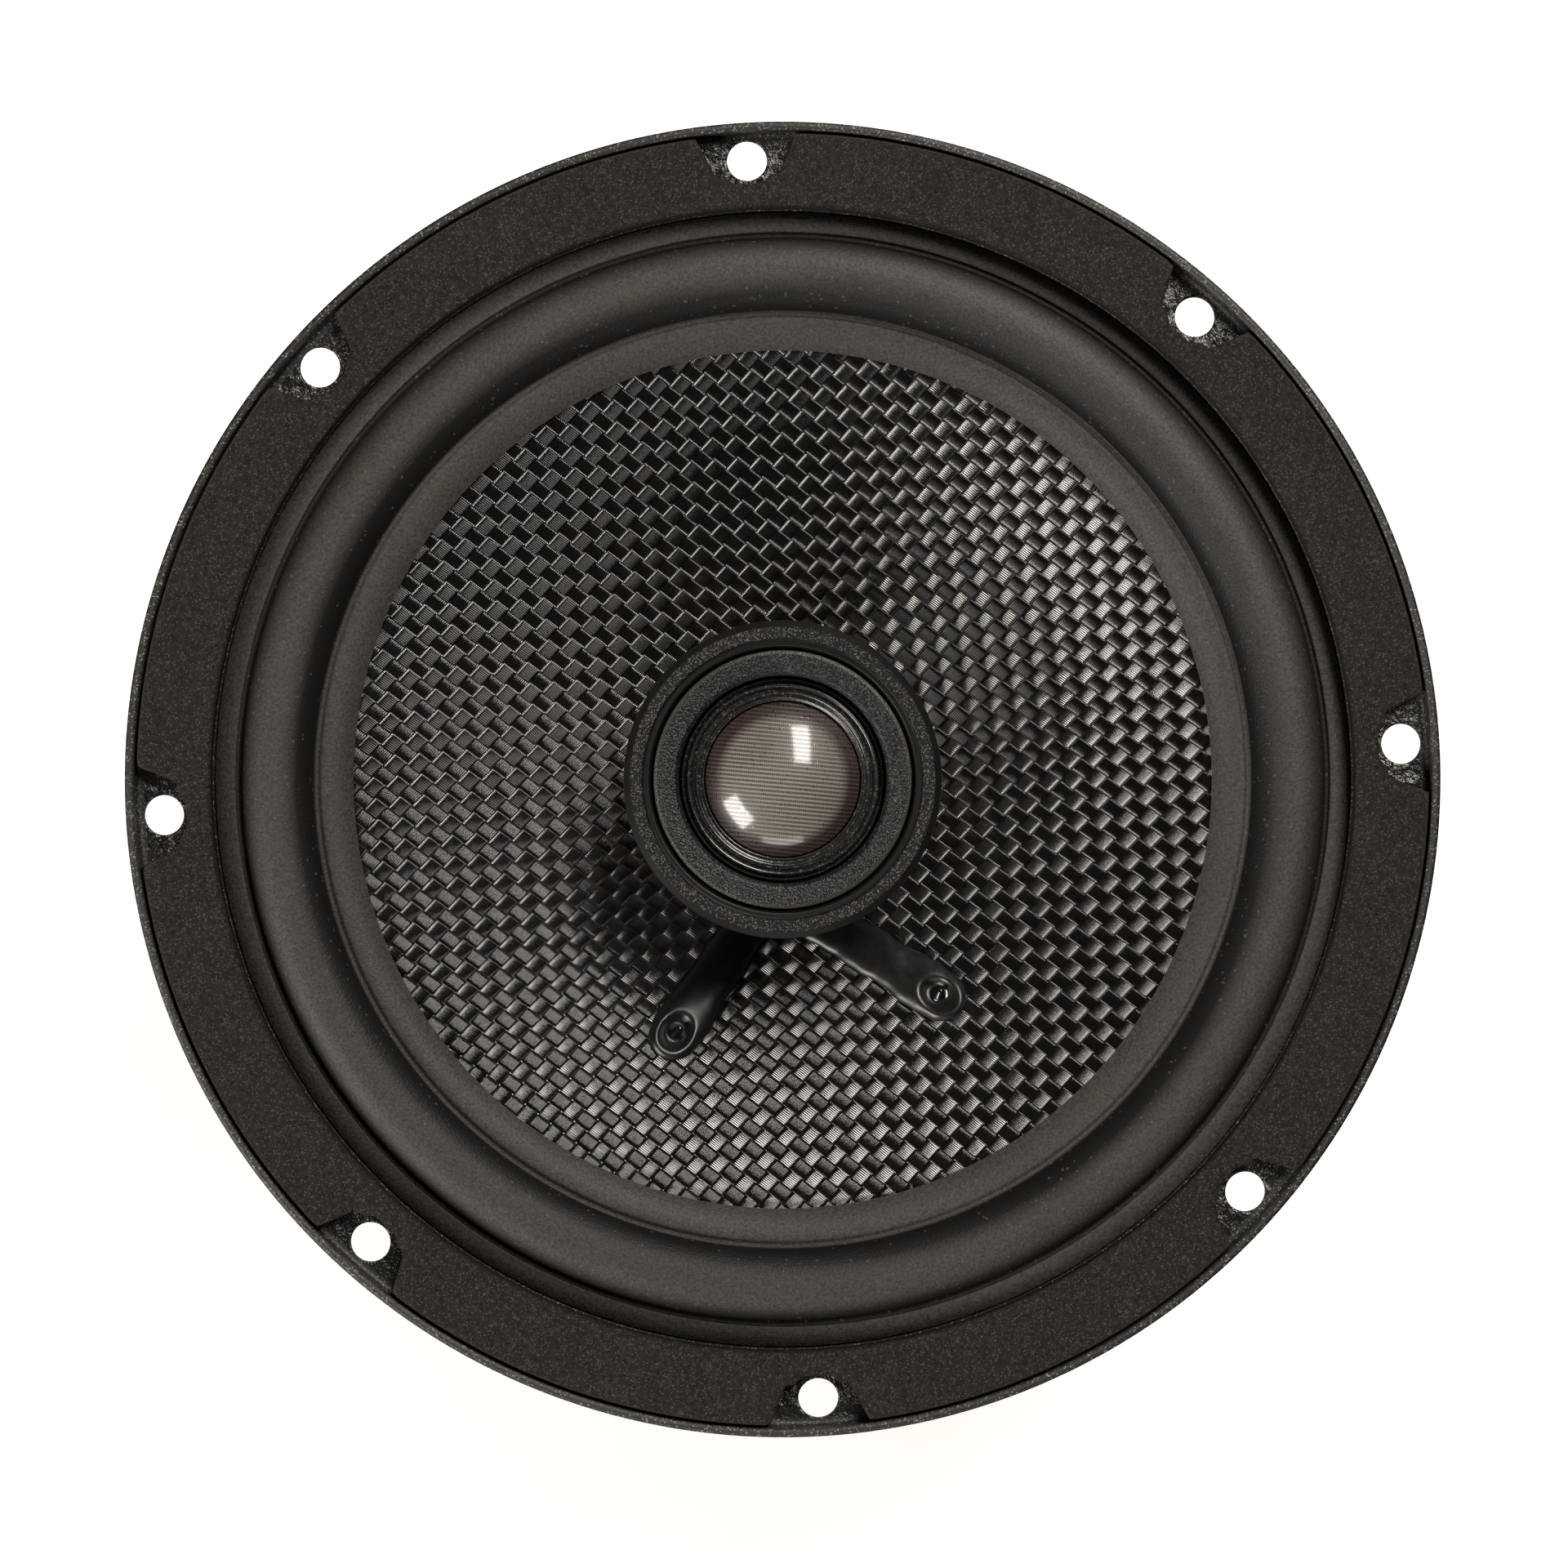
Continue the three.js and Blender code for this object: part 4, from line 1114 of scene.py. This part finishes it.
def gasket_ring():
    """At every angle, a section from the inner edge to the outer one, which the notches bring
    in. The bevel's width along the radius is drawn out by the secant of the edge's slant."""
    edge_angle, edge_radius = notch_edge()
    pitch = math.pi / 4
    plain = np.linspace(edge_angle[-1], pitch - edge_angle[-1], 60)[1:-1]
    one = np.concatenate([-edge_angle[:0:-1], edge_angle, plain])
    t = np.concatenate([one + pitch * k for k in range(8)])
    away = np.abs(folded(t, 8))
    outer = np.interp(away, edge_angle, edge_radius, right=GASKET_OUTER_R)
    slant = np.hypot(1, np.gradient(outer, t) / outer)
    bevel = np.minimum(0.42 * slant, 1.1)
    bottom, top = 61.25, 64.2
    rows = [(GASKET_INNER_R, bottom), (GASKET_INNER_R, top - 0.35), (GASKET_INNER_R + 0.1, top - 0.12)]
    rows += [(GASKET_INNER_R + 0.4, top), (GASKET_INNER_R + 0.9, top)]
    inner_r, inner_z = np.array(rows).T[:, :, None]
    steps = [(2.0, top), (1.0, top), (0.62, top - 0.07), (0.3, top - 0.22)]
    steps += [(0.1, top - 0.5), (0, top - 0.85), (0, bottom)]
    share, outer_z = np.array(steps).T[:, :, None]
    outer_r = outer - share * bevel
    r = np.concatenate([inner_r + 0 * t, np.maximum(outer_r, GASKET_INNER_R + 1)])
    z = np.concatenate([inner_z + 0 * t, outer_z + 0 * t])
    points = np.stack([r * np.cos(t), r * np.sin(t), z], -1)
    return points, grid_quads(*r.shape, close_rows=True, close_columns=True)


def gasket_foam():
    """Charcoal foam: closed cells 0.5 mm across as pits, pale specks where cells are cut, and a
    paler band painted along the bevelled edge, a painted highlight where the bevel catches the light."""
    foam = Finish("gasket_foam", {"Specular IOR Level": 0.14})
    radius, z = foam.radius_and_z()
    cells = foam.noise(0.5, 4)
    cloud = foam.noise(9, 4)
    specks = foam.grains(0.15) > 0.90
    # painted highlight: a paler band painted along the bevelled outer edge
    edge = (z > 63.25) * (64.17 > z) * (radius > 79.5)
    pits = ((cells - 0.5) * 2.6 + 0.5).clamped()
    base = foam.mix(pits * 0.75 + cloud * 0.25, (0.0035, 0.0027, 0.0021), (0.021, 0.0172, 0.0138))
    speckled = foam.mix(specks * 0.45, base, (0.085, 0.075, 0.064))
    foam.feed(base_color=foam.mix(edge * 0.3, speckled, (0.05, 0.044, 0.038)))
    foam.feed(roughness=0.72 + cells * 0.2)
    return foam.relief(cells * 0.16)


piece("foam_gasket", *gasket_ring(), stands_for=["front_gasket"], slot="gasket_foam", finish=gasket_foam())


# ---------------------------------------------------------------- Tweeter post and nut
# A hollow moulded post carries the tweeter over the cone. Its foot stands on the pole, its tail
# goes down through it, and a steel nut in the counterbore pulls it tight.


def moulded_plastic(name, base, texture, sparkle):
    """Black glass-filled nylon: spark-eroded texture, of a depth in millimetres, and a share of
    grains that glitter."""
    plastic = Finish(name, {"IOR": 1.5})
    grain = plastic.noise(0.28, 3)
    cloud = plastic.noise(6, 3)
    glitter = plastic.grains(0.2) > 1 - sparkle
    black = plastic.mix(cloud, tuple(c * 0.7 for c in base), base)
    plastic.feed(base_color=plastic.mix(glitter * 0.8, black, (0.34, 0.32, 0.29)))
    plastic.feed(roughness=0.36 + grain * 0.16 + cloud * 0.08)
    return plastic.relief(grain * texture)


post_finish = moulded_plastic("post_plastic", (0.022, 0.021, 0.020), 0.03, 0.01)
turned_piece(
    "hollow_post",
    [
        (2.2, 4.3, 0.2), (3.7, 4.3, 0.4), (3.7, 29.05, 0.1), (7.5, 29.05, 0.2), (7.5, 30.65, 0.5),
        (4.6, 32.05, 1.2), (4.6, 48.45, 2.0), (8.5, 50.25, 0.5), (8.5, 51.45, 0.15), (2.2, 51.45, 0.2),
    ],
    columns=96,
    stands_for=["tweeter_post"],
    slot="black_plastic",
    finish=post_finish,
)


def hexagon_nut():
    """A chamfered ring whose radius is held within the flats: r <= 5.456 / cos t, with t from
    the nearest flat."""
    lower = [(3.95, 4.35, 0.15), (5.4, 4.35, 0.1), (6.3, 4.8, 0.1)]
    upper = [(6.3, 6.55, 0.1), (5.4, 7.0, 0.1), (3.95, 7.0, 0.15)]
    points, quads = turned(rounded(lower + upper), 180)
    radius = np.hypot(points[..., 0], points[..., 1])
    angle = np.arctan2(points[..., 1], points[..., 0])
    held = np.minimum(radius, 5.456 / np.cos(folded(angle, 6)))
    points[..., :2] *= (held / radius)[..., None]
    return points, quads


piece("pole_nut", *hexagon_nut(), stands_for=["post_nut"], slot="zinc_steel", finish=zinc_finish)


# ---------------------------------------------------------------- Tweeter housing
# A moulded cup with a spark-eroded rim whose glitter is painted on as pale grains, stepped down
# to the ledge that the bezel drops on.


def housing_plastic():
    """Satin outside; the rim between 17.6 and 19 mm is coarse sand texture with painted glints,
    pale grains that stand in for light caught by the sand; the step within it is smooth and dark."""
    plastic = Finish("housing_plastic", {"Specular IOR Level": 0.2})
    radius, z = plastic.radius_and_z()
    rim = (radius > 17.55) * (19.15 > radius) * (z > 65.3)
    sand = plastic.noise(0.17, 3)
    cloud = plastic.noise(5, 3)
    # painted glints: pale grains in the base colour stand in for light caught by the sand
    glint = plastic.grains(0.12) > 0.86
    black = plastic.mix(cloud, (0.004, 0.0038, 0.0035), (0.009, 0.0085, 0.008))
    sanded = plastic.mix(sand, (0.001, 0.0009, 0.0008), (0.010, 0.0092, 0.0085))
    sand_with_painted_glints = plastic.mix(glint * 0.6, sanded, (0.17, 0.16, 0.15))
    plastic.feed(base_color=plastic.mix(rim, black, sand_with_painted_glints))
    plastic.feed(roughness=0.34 + sand * 0.12 + rim * 0.15)
    return plastic.relief(sand * (0.015 + rim * 0.2))


turned_piece(
    "tweeter_cup",
    [
        (2.5, 51.5, 0.2), (12, 51.5, 1.0), (17.2, 52.9, 2.0), (19.95, 56.5, 2.5), (19.95, 64.9, 0.35),
        (19, 65.8, 0.35), (17.65, 65.8, 0.2), (17.45, 65.15, 0.15), (16.75, 65.1, 0.2),
        (16.55, 64.4, 0.2), (16.55, 61, 0.2), (15.2, 61, 0.2), (13.3, 54, 0.3), (2.5, 54, 0.2),
    ],
    columns=240,
    stands_for=["tweeter_housing"],
    slot="black_plastic",
    finish=housing_plastic(),
)


# ---------------------------------------------------------------- Tweeter motor
# A steel cup, a nickel-plated neodymium disc and a thin steel plate, glued in a stack. The
# gap between the plate and the cup takes the dome's coil.

nickel_finish = mottled(
    "nickel_plate", (0.56, 0.54, 0.50), (0.72, 0.70, 0.66),
    size=2.5, roughness=0.2, depth=0.004, Metallic=1.0,
)
turned_piece(
    "tweeter_motor_cup",
    [
        (0, 54.05, 0), (12.3, 54.05, 0.2), (12.75, 54.5, 0.2), (12.75, 61.4, 0.3),
        (10.1, 61.4, 0.3), (10.1, 56, 0.3), (0, 56, 0),
    ],
    closed=False,
    stands_for=["tweeter_yoke"],
    slot="zinc_steel",
    finish=zinc_finish,
)
for name, node, radius, bottom, top, finish, slot in [
    ("tweeter_disc_magnet", "tweeter_magnet", 8.6, 56.05, 59, nickel_finish, "nickel"),
    ("tweeter_front_plate", "tweeter_top_plate", 9.1, 59.05, 61, zinc_finish, "zinc_steel"),
]:
    disc = [(0, bottom, 0), (radius, bottom, 0.3), (radius, top, 0.3), (0, top, 0)]
    turned_piece(name, disc, 96, closed=False, stands_for=[node], slot=slot, finish=finish)


# ---------------------------------------------------------------- Tweeter diaphragm
# A coated cloth dome on a moulded roll of glossy film. The dome's coil hangs from its edge in
# the motor's gap. The roll's foot is glued on the motor cup's rim.

piece(
    "tweeter_winding",
    *turned(wound_outline(inner=9.42, outer=9.68, bottom=59.2, top=61.3, wire=0.12), columns=120),
    body=TWEETER_BODY,
    stands_for=["tweeter_coil"],
    slot="copper_wire",
    finish=copper_finish,
)
DOME_R, DOME_BASE, DOME_RISE = 9.75, 61.9, 3.9


def dome_outline():
    """A spherical cap of radius R = (r^2 + h^2) / 2h, 0.3 mm thick, from the axis to its edge."""
    sphere = (DOME_R**2 + DOME_RISE**2) / (2 * DOME_RISE)
    t = np.linspace(0, math.asin(DOME_R / sphere), 60)
    centre = DOME_BASE + DOME_RISE - sphere
    outer = np.column_stack([sphere * np.sin(t), centre + sphere * np.cos(t)])
    inner = np.column_stack([(sphere - 0.3) * np.sin(t), centre + (sphere - 0.3) * np.cos(t)])
    return np.concatenate([outer, inner[::-1]])


def coated_cloth():
    """Silk in a clear damping coat. The weft, a line every 0.52 mm, lies brighter than the
    warp, a thread every 0.27 mm; both lie 8.7 degrees round. The crown is warm grey and the
    coat has pooled red-brown near the edge. Single threads glint."""
    cloth = Finish("coated_dome_cloth", {"Coat Roughness": 0.13, "Coat IOR": 1.6})
    x, y, _ = cloth.millimetres()
    turn = math.radians(8.7)
    u = (x * math.cos(turn) + y * -math.sin(turn)) * (math.pi / 0.27)
    v = (x * math.sin(turn) + y * math.cos(turn)) * (math.pi / 0.52)
    warp = abs(u.sin()) ** 2
    weft = abs(v.sin()) ** 5
    threads = (weft * 0.85 + warp * 0.3).clamped()
    radius = (x * x + y * y) ** 0.5
    pooled = ((radius - 7.3) / 1.2).clamped()
    cloud = cloth.noise(2.5, 3)
    glint = cloth.grains(0.22) > 0.95
    lit = (threads * (0.7 + cloth.noise(4.5, 3) * 0.8)).clamped()
    crown = cloth.mix(lit, (0.022, 0.0175, 0.014), (0.205, 0.183, 0.160))
    edge = cloth.mix(threads, (0.003, 0.0015, 0.0012), (0.046, 0.024, 0.019))
    cloth.feed(base_color=cloth.mix((pooled + (cloud - 0.5) * 0.15).clamped(), crown, edge))
    cloth.feed(roughness=0.46 + cloud * 0.14 - glint * 0.36, coat_weight=0.55 + weft * 0.45)
    return cloth.relief(threads * 0.045 + glint * 0.02)


piece(
    "cloth_dome",
    *turned(dome_outline(), columns=200, closed=False),
    body=TWEETER_BODY,
    stands_for=["tweeter_dome"],
    slot="dome_cloth",
    finish=coated_cloth(),
)


def roll_film():
    """Polyester film, glossy black with fine scuffs round it and dust."""
    film = Finish("roll_film", {"Specular IOR Level": 0.6, "Coat Weight": 0.5, "Coat Roughness": 0.06})
    scuff = film.noise(0.7, 5)
    dust = film.grains(0.2) > 0.93
    black = film.mix(scuff, (0.004, 0.0036, 0.0033), (0.016, 0.0148, 0.0138))
    film.feed(base_color=film.mix(dust * 0.6, black, (0.10, 0.094, 0.088)))
    film.feed(roughness=0.16 + scuff * 0.22)
    return film.relief(scuff * 0.05)


roll_line = rounded(
    [
        (9.98, 62.0, 0), (10.4, 61.75, 0.25), (10.86, 62.3, 0.25), (11.3, 61.8, 0.2),
        (11.9, 62.95, 0.45), (12.4, 61.75, 0.2), (12.72, 61.75, 0),
    ],
    closed=False,
    steps=8,
)
roll = piece(
    "film_roll",
    *turned(sheet(roll_line, thickness=0.2), columns=200),
    body=None,
    stands_for=["tweeter_roll"],
    slot="roll_film",
    finish=roll_film(),
)
stretching(roll, inwards(inner=10.1, outer=12.4))


# ---------------------------------------------------------------- Tweeter bezel
# A moulded ring that drops on the housing's ledge and traps the diaphragm. Its face is pebbled
# and slopes inwards; its outer edge is rounded and carries a painted highlight.


def bezel_plastic():
    """Fine pebbles over satin black with painted glints, pale specks in the colour; the thin outer edge is
    painted paler as a painted highlight.
    """
    plastic = Finish("bezel_plastic", {"Specular IOR Level": 0.35})
    radius, z = plastic.radius_and_z()
    pebbles = plastic.noise(0.26, 2)
    cloud = plastic.noise(4, 3)
    # painted highlight: the rounded outer edge is painted paler
    edge = (radius > 15.75) * (z > 64.6)
    # painted glints: pale specks in the base colour stand in for light caught by the pebbles
    glint = plastic.grains(0.12) > 0.93
    satin = plastic.mix(cloud, (0.0015, 0.0014, 0.0013), (0.005, 0.0047, 0.0044))
    satin_with_painted_glints = plastic.mix(glint * 0.8, satin, (0.06, 0.056, 0.052))
    plastic.feed(base_color=plastic.mix(edge, satin_with_painted_glints, (0.035, 0.033, 0.030)))
    plastic.feed(roughness=0.28 + pebbles * 0.12)
    return plastic.relief(pebbles * 0.16)


turned_piece(
    "bezel_ring",
    [
        (13.05, 61.05, 0.1), (16.2, 61.05, 0.1), (16.2, 64.8, 0.25),
        (15.75, 65.05, 0.3), (13.5, 64.85, 0.4), (13.05, 64.3, 0.4),
    ],
    columns=240,
    stands_for=["tweeter_bezel"],
    slot="black_plastic",
    finish=bezel_plastic(),
)


# ---------------------------------------------------------------- Tweeter wires
# Two insulated wires come down the hollow post, turn into the boot's groove and climb its
# side: the negative one straight to its terminal, the positive one through a capacitor.

CLIMB_Y, CAPACITOR_Z = -42.1, 28.1


def sleeve(name, dark, light):
    """Extruded PVC: glossy, slightly uneven, a little dusty in its hollows."""
    made = Finish(name, {"Coat Weight": 0.2})
    lumps = made.noise(1.6, 2)
    dust = made.noise(0.3, 3)
    made.feed(base_color=made.mix(lumps * 0.6 + dust * 0.4, dark, light))
    made.feed(roughness=0.28 + dust * 0.2)
    return made.relief(lumps * 0.05 + dust * 0.01)


def wire_run(x, last):
    """Down the post at an offset x, along the groove, up the boot's side, then the last points."""
    down = [(0, 53), (0, 40), (0, 25), (0, 12), (0, 5.2)]
    groove = [(-1.3, 2.5), (-4.5, 1.05), (-12, 0.95), (-25, 0.95), (-36, 0.95)]
    rise = [(-40.4, 1.9), (CLIMB_Y, 5.2), (CLIMB_Y, 13), (CLIMB_Y, 22)]
    return bent([(x, y, z) for y, z in down + groove + rise] + last, radius=4.0)


to_capacitor = [(1.0, CLIMB_Y, 25.6), (2.2, CLIMB_Y, 27.6), (4.1, CLIMB_Y, CAPACITOR_Z)]
to_terminal = [(-1.2, -42.3, 25.5), (-4, -44.6, 28), (-7.4, -47.8, 29.4), (-9.6, -49.2, 29.6)]
red, black = [(0.30, 0.012, 0.008), (0.44, 0.022, 0.015)], [(0.010,) * 3, (0.026, 0.025, 0.024)]
for pole, x, last, colour_name, (dark, light) in [
    ("positive", 0.8, to_capacitor, "red_sleeve", red),
    ("negative", -0.8, to_terminal, "black_sleeve", black),
]:
    piece(
        f"sleeved_wire_{pole}",
        *tube(wire_run(x, last), radius=0.6, never=(1, 0.12, 0.05)),
        stands_for=[f"tweeter_wire_{pole}"],
        slot=colour_name,
        finish=sleeve(colour_name, dark, light),
    )


# ---------------------------------------------------------------- Capacitor
# A bipolar electrolytic in a shrunk sleeve keeps low notes from the tweeter. It is glued on the
# boot's upper edge; its bare lead goes on to the positive terminal.

can_outline = rounded(
    [
        (0, 0.25, 0), (2.7, 0.25, 0.2), (2.9, 0, 0.15), (3.55, 0, 0.3), (3.9, 0.6, 0.4),
        (3.9, 1.5, 0.3), (3.6, 2.0, 0.3), (3.9, 2.5, 0.3), (3.9, 12.4, 0.4), (3.4, 13, 0.3),
        (2.9, 13, 0.15), (2.7, 12.8, 0.2), (0, 12.8, 0),
    ],
    closed=False,
)
can_points, can_quads = turned(can_outline, 96, closed=False)
piece(
    "capacitor_can",
    placed(can_points, (4.5, CLIMB_Y, CAPACITOR_Z), (1, 0, 0)),
    can_quads,
    stands_for=["crossover_capacitor"],
    slot="capacitor_sleeve",
    finish=sleeve("capacitor_sleeve", (0.010, 0.022, 0.055), (0.020, 0.040, 0.090)),
)
capacitor_run = [
    (17.6, CLIMB_Y, CAPACITOR_Z), (19.6, -43.2, 28.3), (19.1, -46.5, 28.8), (15.5, -48.8, 29.2),
    (12.6, -49.4, 29.3),
]
piece(
    "bare_capacitor_lead",
    *tube(bent(capacitor_run), radius=0.45, never=(0, 0, 1)),
    stands_for=["capacitor_lead"],
    slot="tinned_metal",
    finish=tin_finish,
)
